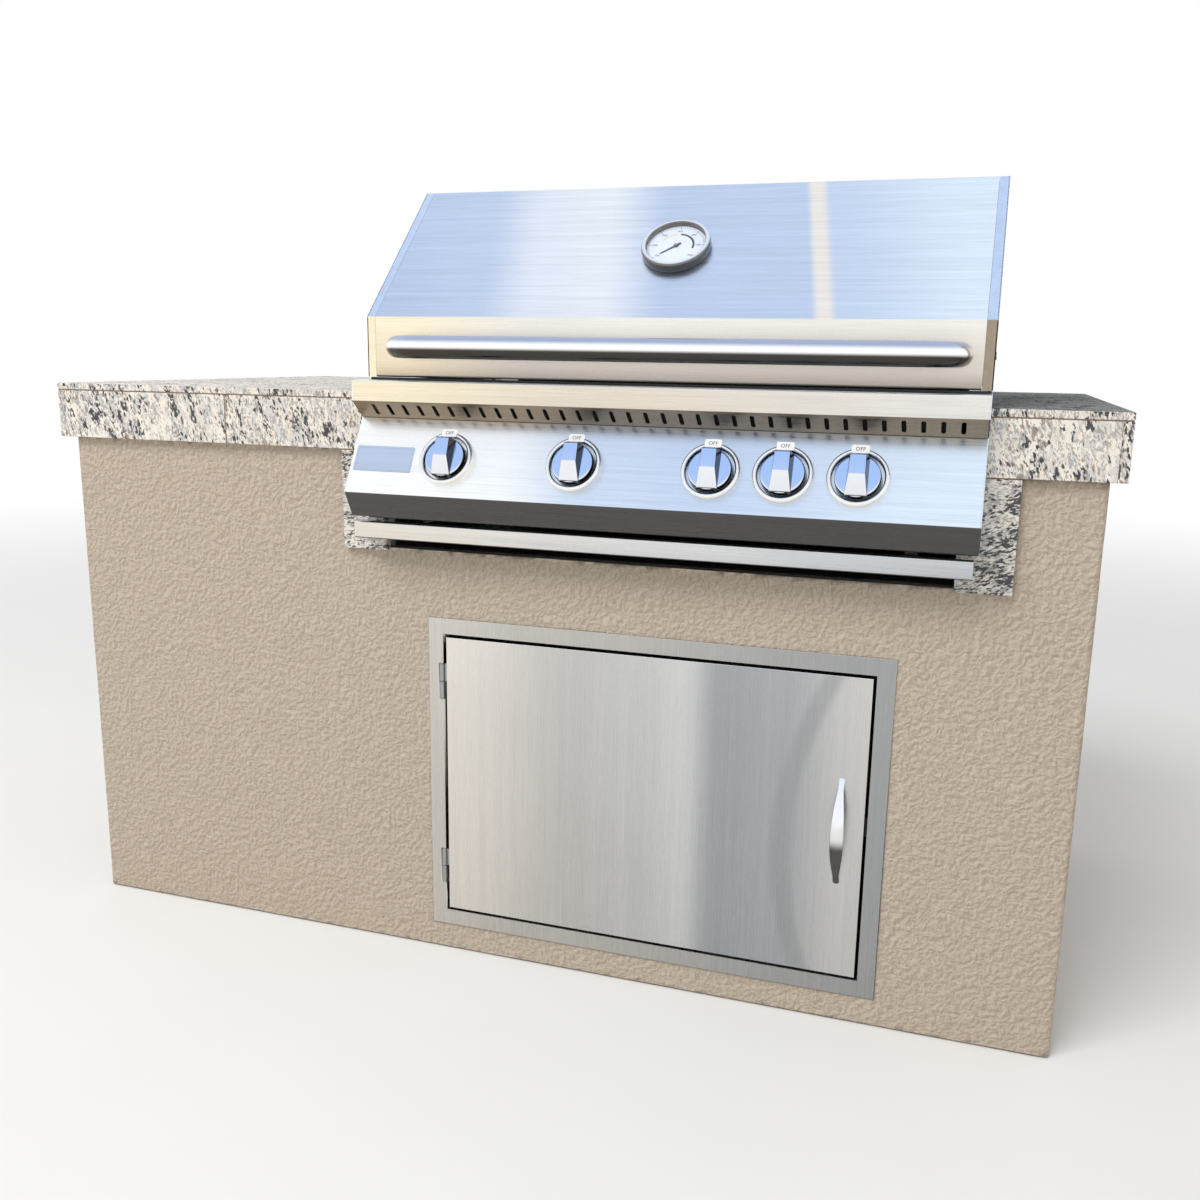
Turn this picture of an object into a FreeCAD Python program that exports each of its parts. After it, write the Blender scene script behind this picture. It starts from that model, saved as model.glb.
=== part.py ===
import FreeCAD, Part
import math
import os

# Outdoor kitchen island: a tiled and stuccoed stud-frame island with a built-in gas grill
# and a stainless access door under it.
# Millimetres. +X runs along the island to the right, +Y goes back from the front wall, +Z is up.
# Everything is drawn with X = 0 at mid length, Y = 0 on the front wall's stucco face and
# Z = 0 on the floor. On export it moves along Y, so that the origin is under its middle.

V = FreeCAD.Vector

# Island, overall
COUNTER_LENGTH = 1626.0
COUNTER_DEPTH = 813.0
COUNTER_HEIGHT = 891.0
END_OVERHANG = 19.0
FRONT_OVERHANG = 12.0

# Stone
TOP_TILE_THICKNESS = 10.0
FASCIA_TILE_THICKNESS = 11.0
FASCIA_BOTTOM = 804.0
TILE_LENGTH = 308.0
JOINT = 1.5
STRIP_WIDTH = 73.0
STRIP_BOTTOM = 652.0

# Wall layers
STUCCO = 6.0
STUCCO_CORNER = 8.0
BOARD = 12.7
FLOOR_GAP = 3.0

# Steel stud frame
STUD_WEB = 63.5
STUD_FLANGE = 41.0
STUD_LIP = 8.0
STEEL = 1.2
TRACK_HEIGHT = 25.0
HEADER_HEIGHT = 50.0
JOIST_HEIGHT = 48.0

# Openings in the walls
CUTOUT_WIDTH = 831.4
CUTOUT_DEPTH = 530.0
CUTOUT_TO_RIGHT_END = 195.8
NOTCH_BOTTOM = 655.0
VENT_WIDTH = 178.0
VENT_HEIGHT = 128.0
VENT_BOTTOM = 90.0
VENT_RIM = 14.0
VENT_LOUVRES = 5
GAS_HOLE_RADIUS = 30.0
GAS_HOLE_HEIGHT = 180.0

# Access door
DOOR_FRAME_WIDTH = 702.0
DOOR_FRAME_HEIGHT = 508.0
DOOR_FRAME_BOTTOM = 43.8
DOOR_BORDER = 25.4
DOOR_FLANGE = 2.5
DOOR_RETURN_DEPTH = 50.0
DOOR_SHEET = 1.5
DOOR_GAP = 4.5
DOOR_PROUD = 3.0
DOOR_THICKNESS = 20.0
HOLE_CLEARANCE = 8.0
HINGE_RADIUS = 4.0
HINGE_PIN_RADIUS = 2.0
HINGE_RUNNING = 0.05
HINGE_BARREL = 28.0
HINGE_FROM_EDGE = 47.0
HINGE_AXIS_Y = -0.5
HINGE_SIDE_GAP = 0.5
PULL_LENGTH = 157.0
PULL_FROM_EDGE = 34.0
PULL_RISE = 30.0
PULL_MID_WIDTH = 21.0
PULL_END_WIDTH = 11.0
PULL_FOOT = 12.0
PULL_CROWN = 9.0
CATCH_SIZE = 14.0

# Grill, as (y, z) points of its side view
RIM_OVERLAP = 28.1
FIREBOX_CLEARANCE = 6.0
SHEET = 1.2
SIDE_PLATE = 1.5
LEDGE_TOP_Z = 908.4
LEDGE_FRONT_Y = -51.7
LEDGE_BOTTOM_Z = 878.5
LEDGE_BACK_Y = 13.0
PANEL_TOP = (-23.0, 854.1)
PANEL_LENGTH = 120.66
PANEL_TILT = 29.3
UNDERSIDE_BOTTOM = (-60.6, 710.7)
PANEL_BACK_Y = -13.0
SEAM = 0.3
SLOT_PITCH = 24.3
SLOT_MARGIN = 28.0
SLOT_WIDTH = 4.0
SLOT_LENGTH = 23.0

# Firebox and what it holds
FIREBOX_FRONT_Y = 14.5
FIREBOX_BACK_Y = 500.0
FIREBOX_BOTTOM_Z = 700.0
FIREBOX_SLOPE_Z = 735.0
REAR_FLANGE = 45.0
HOUSING_TOP_Z = 1050.0
HOUSING_DEPTH = 48.0
GRATE_TOP_Z = 896.0
ROD = 8.0
GRATES = 4
RODS_PER_GRATE = 8
GRATE_GAP = 2.0
GRATE_LEDGE = 18.0
TAMER_Z = 844.0
TAMER_WIDTH = 110.0
TAMER_RISE = 23.0
BURNER_Z = 800.0
BURNER_RADIUS = 15.0
BURNER_END_Y = 486.0
BURNER_HOLE_GAP = 0.5
RACK_Z = 1000.0
RACK_FRONT_Y = 300.0
RACK_BACK_Y = 440.0
RACK_ROD = 6.0
RACK_RODS = 7
REAR_BURNER_WIDTH = 520.0
REAR_BURNER_BOTTOM = 960.0
REAR_BURNER_TOP = 1036.0
REAR_BURNER_DEPTH = 28.0

# Drip tray
FOOT_INSET = 59.7
TRAY_TOP_Z = 697.0
TRAY_DEPTH = 19.0
TRAY_FRONT_Y = -38.0
TRAY_BACK_Y = 460.0
TRAY_FLANGE = 14.0
TRAY_CLEARANCE = 0.4
TRAY_STRIP_INSET = 5.8
TRAY_STRIP_DEPTH = 12.0
TRAY_STRIP_BOTTOM = 676.0
TRAY_STRIP_TOP = 701.0

# Knobs, from the panel's top edge and outward from its face
KNOB_DOWN_PANEL = 65.2
KNOB_SPACING = 192.8
KNOB_RADIUS = 30.0
KNOB_BACK = 5.5
KNOB_SKIRT = 15.0
KNOB_HIGH = 40.0
KNOB_LOW = 35.0
GRIP_HALF_WIDTH = 12.0
GRIP_TAPER = 1.2
GRIP_END = 6.0
BEZEL_GAP = 3.5
BEZEL_LIP = 3.5
BEZEL_FLARE = 4.0
BEZEL_HEIGHT = 12.5
STEM_RADIUS = 3.0
STEM_RUNNING = 0.05
STEM_HOLE_RADIUS = 6.0
STEM_TIP = 20.0
STEM_END = 30.0
WASHER_WIDTH = 14.0
WASHER_THICKNESS = 1.0
WASHER_GAP = 0.4
PUSH_TRAVEL = 3.5
VALVE_WIDTH = 28.0
BONNET_RADIUS = 9.0
BONNET_DEPTH = 7.5
VALVE_DEPTH = 22.0
VALVE_END = 58.0
JET_Y = -15.0
JET_RADIUS = 4.5
JET_DROP = 16.0
JET_CLEARANCE = 6.0
MANIFOLD_DEPTH = 62.0
MANIFOLD_RADIUS = 10.0
MANIFOLD_BORE = 8.0
MANIFOLD_PAST_VALVE = 41.0
INLET_INSET = 15.7
INLET_RADIUS = 7.94
INLET_LENGTH = 14.0
INLET_DROP = 24.0
NAMEPLATE_LEFT = 5.5
NAMEPLATE_TOP = 46.6
NAMEPLATE_WIDTH = 93.0
NAMEPLATE_HEIGHT = 39.8
NAMEPLATE_THICKNESS = 0.8

# Flats round large turned parts and round thin bars
TURNED_FLATS = 20
BAR_FLATS = 16

# Hood
HOOD_FRONT_Y = -1.1
HOOD_BOTTOM_Z = 912.4
HOOD_CREASE_Z = 999.9
HOOD_RIDGE = (203.2, 1199.0)
HOOD_TOP_BACK_Y = 380.0
HOOD_REAR = (512.0, 1090.0)
HOOD_PIVOT = (465.0, 957.0)
HOOD_BAND = 13.3
HOOD_BAND_SEAM = 0.3
HOOD_RETURN = 14.0
LINING_GAP = 20.0
LINING_SHEET = 0.9
HOOD_PIN_RADIUS = 4.0
HOOD_PIN_RUNNING = 0.05
HOOD_PIN_HEAD = 7.0
BRACKET = 3.0
HANDLE_RADIUS = 16.0
HANDLE_Y = -58.0
HANDLE_Z = 956.0
HANDLE_INSET = 32.8
HANDLE_BEND = 34.0
HANDLE_BEND_STEPS = 5

# Thermometer, up the hood slope from the crease
GAUGE_UP_SLOPE = 141.0
GAUGE_RADIUS = 50.0
GAUGE_HEIGHT = 14.0
GAUGE_RIM = 7.0
GAUGE_BEVEL = 3.0
GAUGE_DIAL_DEPTH = 8.0
GAUGE_PLATE = 1.0
GAUGE_GLASS = 1.2
GAUGE_GLASS_DEPTH = 3.5
GAUGE_STEM_RADIUS = 3.5
GAUGE_STEM_LENGTH = 45.0
GAUGE_HOLE_GAP = 1.0
NEEDLE_LENGTH = 27.0
NEEDLE_WIDTH = 3.0
NEEDLE_THICKNESS = 0.8
NEEDLE_TAIL = 8.0
NEEDLE_TIP = 0.4
NEEDLE_GAP = 0.6
NEEDLE_HUB_RADIUS = 3.5
NEEDLE_HUB_HEIGHT = 1.6
NEEDLE_PIN_RADIUS = 1.5
NEEDLE_PIN_HEIGHT = 2.6
NEEDLE_RUNNING = 0.05
NEEDLE_ANGLE = 130.0

# Worked out from the sizes above
HALF_LENGTH = COUNTER_LENGTH / 2
BODY_HALF = HALF_LENGTH - END_OVERHANG
BODY_DEPTH = COUNTER_DEPTH - 2 * FRONT_OVERHANG
DECK_TOP = COUNTER_HEIGHT - TOP_TILE_THICKNESS
DECK_BOTTOM = DECK_TOP - BOARD
BOARD_HALF = BODY_HALF - STUCCO
BOARD_FRONT = STUCCO
BOARD_BACK = BODY_DEPTH - STUCCO
FRAME_HALF = BOARD_HALF - BOARD
FRAME_FRONT = BOARD_FRONT + BOARD
FRAME_BACK = BOARD_BACK - BOARD
TRACK_WIDTH = STUD_WEB + 2 * STEEL
GRILL_X = HALF_LENGTH - CUTOUT_TO_RIGHT_END - CUTOUT_WIDTH / 2
CUT_LEFT = GRILL_X - CUTOUT_WIDTH / 2
CUT_RIGHT = GRILL_X + CUTOUT_WIDTH / 2
GRILL_HALF = CUTOUT_WIDTH / 2 + RIM_OVERLAP
FIREBOX_HALF = CUTOUT_WIDTH / 2 - FIREBOX_CLEARANCE
TRAY_HALF = FIREBOX_HALF - FOOT_INSET
SLOT_COUNT = 1 + int(2 * (GRILL_HALF - SLOT_MARGIN) / SLOT_PITCH)
MANIFOLD_LEFT = -1.5 * KNOB_SPACING - MANIFOLD_PAST_VALVE
INLET_X = FIREBOX_HALF - INLET_INSET
DOOR_LEFT = GRILL_X - DOOR_FRAME_WIDTH / 2
DOOR_RIGHT = GRILL_X + DOOR_FRAME_WIDTH / 2
DOOR_TOP = DOOR_FRAME_BOTTOM + DOOR_FRAME_HEIGHT
PANEL_DIRECTION = (math.sin(math.radians(PANEL_TILT)), math.cos(math.radians(PANEL_TILT)))
PANEL_BOTTOM = (PANEL_TOP[0] - PANEL_LENGTH * PANEL_DIRECTION[0],
                PANEL_TOP[1] - PANEL_LENGTH * PANEL_DIRECTION[1])
SLOPE_LENGTH = math.hypot(HOOD_RIDGE[0] - HOOD_FRONT_Y, HOOD_RIDGE[1] - HOOD_CREASE_Z)
SLOPE_ANGLE = math.degrees(math.asin((HOOD_RIDGE[1] - HOOD_CREASE_Z) / SLOPE_LENGTH))
KNOB_XS = [-1.5 * KNOB_SPACING, -0.5 * KNOB_SPACING, 0.5 * KNOB_SPACING,
           KNOB_SPACING, 1.5 * KNOB_SPACING]
BURNER_XS = [(i - 1.5) * KNOB_SPACING for i in range(4)]


# Building blocks

def block(x0, x1, y0, y1, z0, z1):
    """A box between two corners."""
    return Part.makeBox(x1 - x0, y1 - y0, z1 - z0, V(x0, y0, z0))


def prism(points, direction):
    """A closed outline of vectors, pushed along a direction."""
    return Part.Face(Part.makePolygon(points + points[:1])).extrude(direction)


def prism_x(points, x0, x1):
    """An outline of (y, z) points between two X."""
    return prism([V(x0, y, z) for y, z in points], V(x1 - x0, 0, 0))


def prism_y(points, y0, y1):
    """An outline of (x, z) points between two Y."""
    return prism([V(x, y0, z) for x, z in points], V(0, y1 - y0, 0))


def prism_z(points, z0, z1):
    """An outline of (x, y) points between two Z."""
    return prism([V(x, y, z0) for x, y in points], V(0, 0, z1 - z0))


def beside(path, distance):
    """The line beside an open path of 2-D points, to the left of its run."""
    runs = [(b[0] - a[0], b[1] - a[1]) for a, b in zip(path, path[1:])]
    normals = [(-dy / math.hypot(dx, dy), dx / math.hypot(dx, dy)) for dx, dy in runs]
    line = []
    for i, (a, b) in enumerate(path):
        before = normals[max(i - 1, 0)]
        after = normals[min(i, len(normals) - 1)]
        scale = distance / (1 + before[0] * after[0] + before[1] * after[1])
        line.append((a + (before[0] + after[0]) * scale, b + (before[1] + after[1]) * scale))
    return line


def folded(path, thickness):
    """The section of a folded sheet whose visible face is the path."""
    return path + beside(path, thickness)[::-1]


def rod(radius, start, end):
    """A round bar between two points."""
    run = end - start
    return Part.makeCylinder(radius, run.Length, start, run)


def turned(points):
    """A closed outline of (radius, height) points, turned about Z with narrow flats."""
    faces = []
    for a, b in zip(points, points[1:] + points[:1]):
        if a[0] or b[0]:
            low, high = [ring(V(0, 0, z), V(1, 0, 0), V(0, 1, 0), r, TURNED_FLATS) for r, z in (a, b)]
            for i in range(TURNED_FLATS):
                corners = [low[i - 1], low[i], high[i], high[i - 1]]
                if not a[0]:
                    corners = [low[0], high[i], high[i - 1]]
                if not b[0]:
                    corners = [low[i - 1], low[i], high[0]]
                faces.append(Part.Face(Part.makePolygon(corners + corners[:1])))
    return closed(faces)


def closed(faces):
    """The solid inside a closed skin of faces."""
    solid = Part.makeSolid(Part.makeShell(faces))
    if solid.Volume < 0:
        solid.reverse()
    return solid.removeSplitter()


def skinned(rings):
    """The solid through a row of rings of points, with a flat face at each end."""
    faces = [Part.Face(Part.makePolygon(ring + ring[:1])) for ring in (rings[0], rings[-1])]
    for a, b in zip(rings, rings[1:]):
        for i in range(len(a)):
            corners = [a[i - 1], a[i], b[i], b[i - 1]]
            faces.append(Part.Face(Part.makePolygon(corners + corners[:1])))
    return closed(faces)


def ring(centre, side, up, radius, flats):
    """The corners of a many-sided bar's section, round a centre."""
    angles = [2 * math.pi * (i + 0.5) / flats for i in range(flats)]
    return [centre + side * (radius * math.cos(a)) + up * (radius * math.sin(a)) for a in angles]


def many_sided(radius, start, end, flats=BAR_FLATS):
    """A straight bar with narrow flats, between two points."""
    turn = FreeCAD.Rotation(V(0, 0, 1), end - start)
    side, up = turn.multVec(V(1, 0, 0)), turn.multVec(V(0, 1, 0))
    return skinned([ring(point, side, up, radius, flats) for point in (start, end)])


def around(radius):
    """The corner radius of a many-sided hole whose flats just clear a round bar."""
    return radius / math.cos(math.pi / BAR_FLATS)


def hexagon(width):
    """A hexagon of points with a flat top and bottom, as wide as given across the flats."""
    half = width / 2
    side = width / math.sqrt(3)
    return [(side, 0), (side / 2, half), (-side / 2, half), (-side, 0), (-side / 2, -half),
            (side / 2, -half)]


def fused(shapes):
    """One solid from overlapping ones."""
    return shapes[0].multiFuse(shapes[1:]).removeSplitter()


def group(shapes):
    """Separate solids that share one node."""
    return Part.makeCompound(shapes)


def mirrored(shape):
    """The same shape on the other side of the grill's centre line."""
    return shape.mirror(V(GRILL_X, 0, 0), V(1, 0, 0))


def spans(start, end, size, gap):
    """The runs that tiles of one size cover between two ends, with a gap between them."""
    result = []
    while end - start > 1e-6:
        stop = min(start + size, end)
        if end - stop <= gap:
            stop = end
        result.append((start, stop))
        start = stop + gap
    return result


def placed(shape, point, lean):
    """A copy of a shape, leaned back about X and moved to a point."""
    moved = shape.copy()
    turn = FreeCAD.Placement(point, FreeCAD.Rotation(V(1, 0, 0), lean))
    moved.Placement = turn.multiply(shape.Placement)
    return moved


def on_panel(shape, x, down):
    """Move a shape onto the control panel: its Z points out of the panel, its Y up it."""
    y = PANEL_TOP[0] - down * PANEL_DIRECTION[0]
    z = PANEL_TOP[1] - down * PANEL_DIRECTION[1]
    return placed(shape, V(GRILL_X + x, y, z), 90 - PANEL_TILT)


def on_slope(shape, up):
    """Move a shape onto the hood's slope at the grill's centre: its Z points out of it."""
    angle = math.radians(SLOPE_ANGLE)
    y = HOOD_FRONT_Y + up * math.cos(angle)
    z = HOOD_CREASE_Z + up * math.sin(angle)
    return placed(shape, V(GRILL_X, y, z), SLOPE_ANGLE)


# Stud frame

def stud_outline(web, flange, lip):
    """The C section of a stud, its web along the first axis."""
    t = STEEL
    return [(0, 0), (web, 0), (web, flange), (web - lip, flange), (web - lip, flange - t),
            (web - t, flange - t), (web - t, t), (t, t), (t, flange - t), (lip, flange - t),
            (lip, flange), (0, flange)]


def track_outline(width, height):
    """The U section of a track, its web along the first axis."""
    t = STEEL
    return [(0, 0), (width, 0), (width, height), (width - t, height), (width - t, t), (t, t),
            (t, height), (0, height)]


def wall_stud(x, front, turn, top):
    """A stud in the front or back wall whose web's outer face is at x."""
    section = [(x + turn * b, front + STEEL + a)
               for a, b in stud_outline(STUD_WEB, STUD_FLANGE, STUD_LIP)]
    return prism_z(section, STEEL, top)


def base_tracks():
    """Floor tracks: front and back over the full length, ends between them."""
    section = track_outline(TRACK_WIDTH, TRACK_HEIGHT)
    long_front = prism_x([(FRAME_FRONT + a, b) for a, b in section], -FRAME_HALF, FRAME_HALF)
    long_back = prism_x([(FRAME_BACK - a, b) for a, b in section], -FRAME_HALF, FRAME_HALF)
    y0 = FRAME_FRONT + TRACK_WIDTH
    y1 = FRAME_BACK - TRACK_WIDTH
    left = prism_y([(-FRAME_HALF + a, b) for a, b in section], y0, y1)
    right = prism_y([(FRAME_HALF - a, b) for a, b in section], y0, y1)
    return group([long_front, long_back, left, right])


def wall_studs():
    """Corner studs, studs beside the cut-out and the door, and studs in the back wall."""
    top = DECK_BOTTOM - STEEL
    jamb_top = NOTCH_BOTTOM - HEADER_HEIGHT
    door_left = DOOR_LEFT + DOOR_BORDER - HOLE_CLEARANCE - DOOR_SHEET
    door_right = DOOR_RIGHT - DOOR_BORDER + HOLE_CLEARANCE + DOOR_SHEET
    studs = [wall_stud(-FRAME_HALF, FRAME_FRONT, 1, top),
             wall_stud(FRAME_HALF, FRAME_FRONT, -1, top),
             wall_stud(CUT_LEFT, FRAME_FRONT, -1, top),
             wall_stud(CUT_RIGHT, FRAME_FRONT, 1, top),
             wall_stud(door_left, FRAME_FRONT, -1, jamb_top),
             wall_stud(door_right, FRAME_FRONT, 1, jamb_top)]
    back = FRAME_BACK - TRACK_WIDTH
    studs += [wall_stud(-FRAME_HALF, back, 1, top), wall_stud(FRAME_HALF, back, -1, top)]
    inner = FRAME_HALF - STUD_FLANGE
    for i in range(1, 4):
        studs.append(wall_stud(-inner + i * inner / 2, back, -1, top))
    return group(studs)


def top_frame():
    """Top tracks, the header under the grill and the joists that carry the deck."""
    t = STEEL
    outline = track_outline(TRACK_WIDTH, TRACK_HEIGHT)
    down = [(a, DECK_BOTTOM - b) for a, b in outline]
    front = [(FRAME_FRONT + a, z) for a, z in down]
    back = [(FRAME_BACK - a, z) for a, z in down]
    y0 = FRAME_FRONT + TRACK_WIDTH
    y1 = FRAME_BACK - TRACK_WIDTH
    pieces = [prism_x(front, -FRAME_HALF, CUT_LEFT),
              prism_x(front, CUT_RIGHT, FRAME_HALF),
              prism_x(back, -FRAME_HALF, FRAME_HALF),
              prism_y([(-FRAME_HALF + a, z) for a, z in down], y0, y1),
              prism_y([(FRAME_HALF - a, z) for a, z in down], y0, y1)]
    header = track_outline(STUD_WEB, HEADER_HEIGHT)
    pieces.append(prism_x([(FRAME_FRONT + t + a, NOTCH_BOTTOM - b) for a, b in header],
                          CUT_LEFT, CUT_RIGHT))
    joist = track_outline(JOIST_HEIGHT, STUD_FLANGE)
    for x, turn in ((CUT_LEFT, -1), (CUT_RIGHT, 1), ((CUT_LEFT - FRAME_HALF) / 2, 1)):
        section = [(x + turn * b, DECK_BOTTOM - a) for a, b in joist]
        pieces.append(prism_y(section, y0, y1))
    section = [(CUTOUT_DEPTH + b, DECK_BOTTOM - a) for a, b in joist]
    pieces.append(prism_x(section, CUT_LEFT, CUT_RIGHT))
    return group(pieces)


# Walls

def door_hole():
    """The rough hole for the door frame, as x0, x1, z0, z1."""
    inset = DOOR_BORDER - HOLE_CLEARANCE
    return (DOOR_LEFT + inset, DOOR_RIGHT - inset,
            DOOR_FRAME_BOTTOM + inset, DOOR_TOP - inset)


def vent_hole_cutters():
    """The holes behind the air vents, through both end walls."""
    y0 = BODY_DEPTH / 2 - VENT_WIDTH / 2 + VENT_RIM
    y1 = BODY_DEPTH / 2 + VENT_WIDTH / 2 - VENT_RIM
    return block(-BODY_HALF - 1, BODY_HALF + 1, y0, y1,
                 VENT_BOTTOM + VENT_RIM, VENT_BOTTOM + VENT_HEIGHT - VENT_RIM)


def gas_hole_cutter():
    """The round hole for a gas line, through the back wall."""
    return rod(GAS_HOLE_RADIUS, V(GRILL_X, BODY_DEPTH - 2 * (STUCCO + BOARD), GAS_HOLE_HEIGHT),
                V(GRILL_X, BODY_DEPTH + 1, GAS_HOLE_HEIGHT))


def wall_boards():
    """Cement boards: six in the front wall, one at the back and one at each end."""
    y0, y1 = BOARD_FRONT, FRAME_FRONT
    x0, x1, z0, z1 = door_hole()
    low, high = FLOOR_GAP, DECK_BOTTOM
    pieces = [block(-BOARD_HALF, CUT_LEFT, y0, y1, low, high),
              block(CUT_LEFT, x0, y0, y1, low, NOTCH_BOTTOM),
              block(x0, x1, y0, y1, low, z0),
              block(x0, x1, y0, y1, z1, NOTCH_BOTTOM),
              block(x1, CUT_RIGHT, y0, y1, low, NOTCH_BOTTOM),
              block(CUT_RIGHT, BOARD_HALF, y0, y1, low, high)]
    back = block(-BOARD_HALF, BOARD_HALF, FRAME_BACK, BOARD_BACK, low, high)
    pieces.append(back.cut(gas_hole_cutter()))
    for x in (-BOARD_HALF, FRAME_HALF):
        end = block(x, x + BOARD, y1, FRAME_BACK, low, high)
        pieces.append(end.cut(vent_hole_cutters()))
    return group(pieces)


def deck_boards():
    """Cement boards under the top tiles, left and right of the grill and behind it."""
    half = HALF_LENGTH - FASCIA_TILE_THICKNESS
    y0 = FASCIA_TILE_THICKNESS - FRONT_OVERHANG
    y1 = COUNTER_DEPTH - FRONT_OVERHANG - FASCIA_TILE_THICKNESS
    return group([block(-half, CUT_LEFT, y0, y1, DECK_BOTTOM, DECK_TOP),
                  block(CUT_RIGHT, half, y0, y1, DECK_BOTTOM, DECK_TOP),
                  block(CUT_LEFT, CUT_RIGHT, CUTOUT_DEPTH, y1, DECK_BOTTOM, DECK_TOP)])


def fascia_packing():
    """Strips that bring the fascia tiles out over the stucco."""
    half = HALF_LENGTH - FASCIA_TILE_THICKNESS
    y0 = FASCIA_TILE_THICKNESS - FRONT_OVERHANG
    y1 = COUNTER_DEPTH - FRONT_OVERHANG - FASCIA_TILE_THICKNESS
    z0, z1 = FASCIA_BOTTOM, DECK_BOTTOM
    return group([block(-BOARD_HALF, CUT_LEFT, y0, BOARD_FRONT, z0, z1),
                  block(CUT_RIGHT, BOARD_HALF, y0, BOARD_FRONT, z0, z1),
                  block(-BOARD_HALF, BOARD_HALF, BOARD_BACK, y1, z0, z1),
                  block(-half, -BOARD_HALF, y0, y1, z0, z1),
                  block(BOARD_HALF, half, y0, y1, z0, z1)])


def stucco_coat():
    """One coat round all four walls, with rounded corners and the real openings."""
    outer = block(-BODY_HALF, BODY_HALF, 0, BODY_DEPTH, FLOOR_GAP, FASCIA_BOTTOM)
    upright = [e for e in outer.Edges if abs(e.tangentAt(e.FirstParameter).z) > 0.9]
    outer = outer.makeFillet(STUCCO_CORNER, upright)
    inner = block(-BOARD_HALF, BOARD_HALF, BOARD_FRONT, BOARD_BACK, 0, COUNTER_HEIGHT)
    x0, x1, z0, z1 = door_hole()
    notch = block(CUT_LEFT, CUT_RIGHT, -1, BOARD_FRONT + 1, NOTCH_BOTTOM, COUNTER_HEIGHT)
    hole = block(x0, x1, -1, BOARD_FRONT + 1, z0, z1)
    return outer.cut([inner, notch, hole, vent_hole_cutters(), gas_hole_cutter()])


def wall_vents():
    """Louvred air vents on both end walls."""
    y0 = BODY_DEPTH / 2 - VENT_WIDTH / 2
    plate = block(BODY_HALF, BODY_HALF + DOOR_SHEET, y0, y0 + VENT_WIDTH,
                  VENT_BOTTOM, VENT_BOTTOM + VENT_HEIGHT)
    inner = VENT_HEIGHT - 2 * VENT_RIM
    pitch = inner / VENT_LOUVRES
    y0 += VENT_RIM
    y1 = y0 + VENT_WIDTH - 2 * VENT_RIM
    blades = []
    for i in range(VENT_LOUVRES):
        z = VENT_BOTTOM + VENT_RIM + i * pitch
        plate = plate.cut(block(BODY_HALF - 1, BODY_HALF + 3, y0, y1, z, z + pitch * 0.6))
        blade = [(BODY_HALF + DOOR_SHEET, z + pitch * 0.6 + DOOR_SHEET),
                 (BODY_HALF + DOOR_SHEET, z + pitch * 0.6),
                 (BODY_HALF + 5, z + pitch * 0.1), (BODY_HALF + 5, z + pitch * 0.1 + DOOR_SHEET)]
        blades.append(prism_y(blade, y0, y1))
    right = fused([plate] + blades)
    return group([right, right.mirror(V(0, 0, 0), V(1, 0, 0))])


# Stone

def top_tiles():
    """Granite tiles on the deck, with joints, round the grill's cut-out."""
    tiles = []
    y1 = COUNTER_DEPTH - FRONT_OVERHANG
    rows = spans(-FRONT_OVERHANG, y1, TILE_LENGTH, JOINT)
    sides = [(a, b) for a, b in spans(-HALF_LENGTH, CUT_LEFT, TILE_LENGTH, JOINT)]
    sides += [(a, b) for a, b in spans(CUT_RIGHT, HALF_LENGTH, TILE_LENGTH, JOINT)]
    for x0, x1 in sides:
        for a, b in rows:
            tiles.append(block(x0, x1, a, b, DECK_TOP, COUNTER_HEIGHT))
    for x0, x1 in spans(CUT_LEFT + JOINT, CUT_RIGHT - JOINT, TILE_LENGTH, JOINT):
        for a, b in spans(CUTOUT_DEPTH, y1, TILE_LENGTH, JOINT):
            tiles.append(block(x0, x1, a, b, DECK_TOP, COUNTER_HEIGHT))
    return group(tiles)


def fascia_tiles():
    """Granite tiles round the counter's edge: the end ones reach the corners."""
    t = FASCIA_TILE_THICKNESS
    z0, z1 = FASCIA_BOTTOM, DECK_TOP - JOINT
    y0 = -FRONT_OVERHANG
    y1 = COUNTER_DEPTH - FRONT_OVERHANG
    half = HALF_LENGTH - t
    tiles = []
    for a, b in spans(y0, y1, TILE_LENGTH, JOINT):
        tiles.append(block(-HALF_LENGTH, -half, a, b, z0, z1))
        tiles.append(block(half, HALF_LENGTH, a, b, z0, z1))
    for a, b in spans(-half + JOINT, CUT_LEFT, TILE_LENGTH, JOINT):
        tiles.append(block(a, b, y0, y0 + t, z0, z1))
    for a, b in spans(CUT_RIGHT, half - JOINT, TILE_LENGTH, JOINT):
        tiles.append(block(a, b, y0, y0 + t, z0, z1))
    for a, b in spans(-half + JOINT, half - JOINT, TILE_LENGTH, JOINT):
        tiles.append(block(a, b, y1 - t, y1, z0, z1))
    return group(tiles)


def side_strips():
    """Granite strips down the wall on both sides of the grill."""
    z1 = FASCIA_BOTTOM - JOINT
    y0 = -FASCIA_TILE_THICKNESS
    return group([block(CUT_LEFT - STRIP_WIDTH, CUT_LEFT, y0, 0, STRIP_BOTTOM, z1),
                  block(CUT_RIGHT, CUT_RIGHT + STRIP_WIDTH, y0, 0, STRIP_BOTTOM, z1)])


# Access door

def door_opening():
    """The clear opening inside the frame, as x0, x1, z0, z1."""
    return (DOOR_LEFT + DOOR_BORDER, DOOR_RIGHT - DOOR_BORDER,
            DOOR_FRAME_BOTTOM + DOOR_BORDER, DOOR_TOP - DOOR_BORDER)


def door_leaf():
    """The outline of the closed door, as x0, x1, z0, z1."""
    x0, x1, z0, z1 = door_opening()
    return x0 + DOOR_GAP, x1 - DOOR_GAP, z0 + DOOR_GAP, z1 - DOOR_GAP


def hinge_axis_x():
    """The hinge barrels sit in notches, just inside the frame's left border."""
    return door_opening()[0] - HINGE_RADIUS


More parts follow.
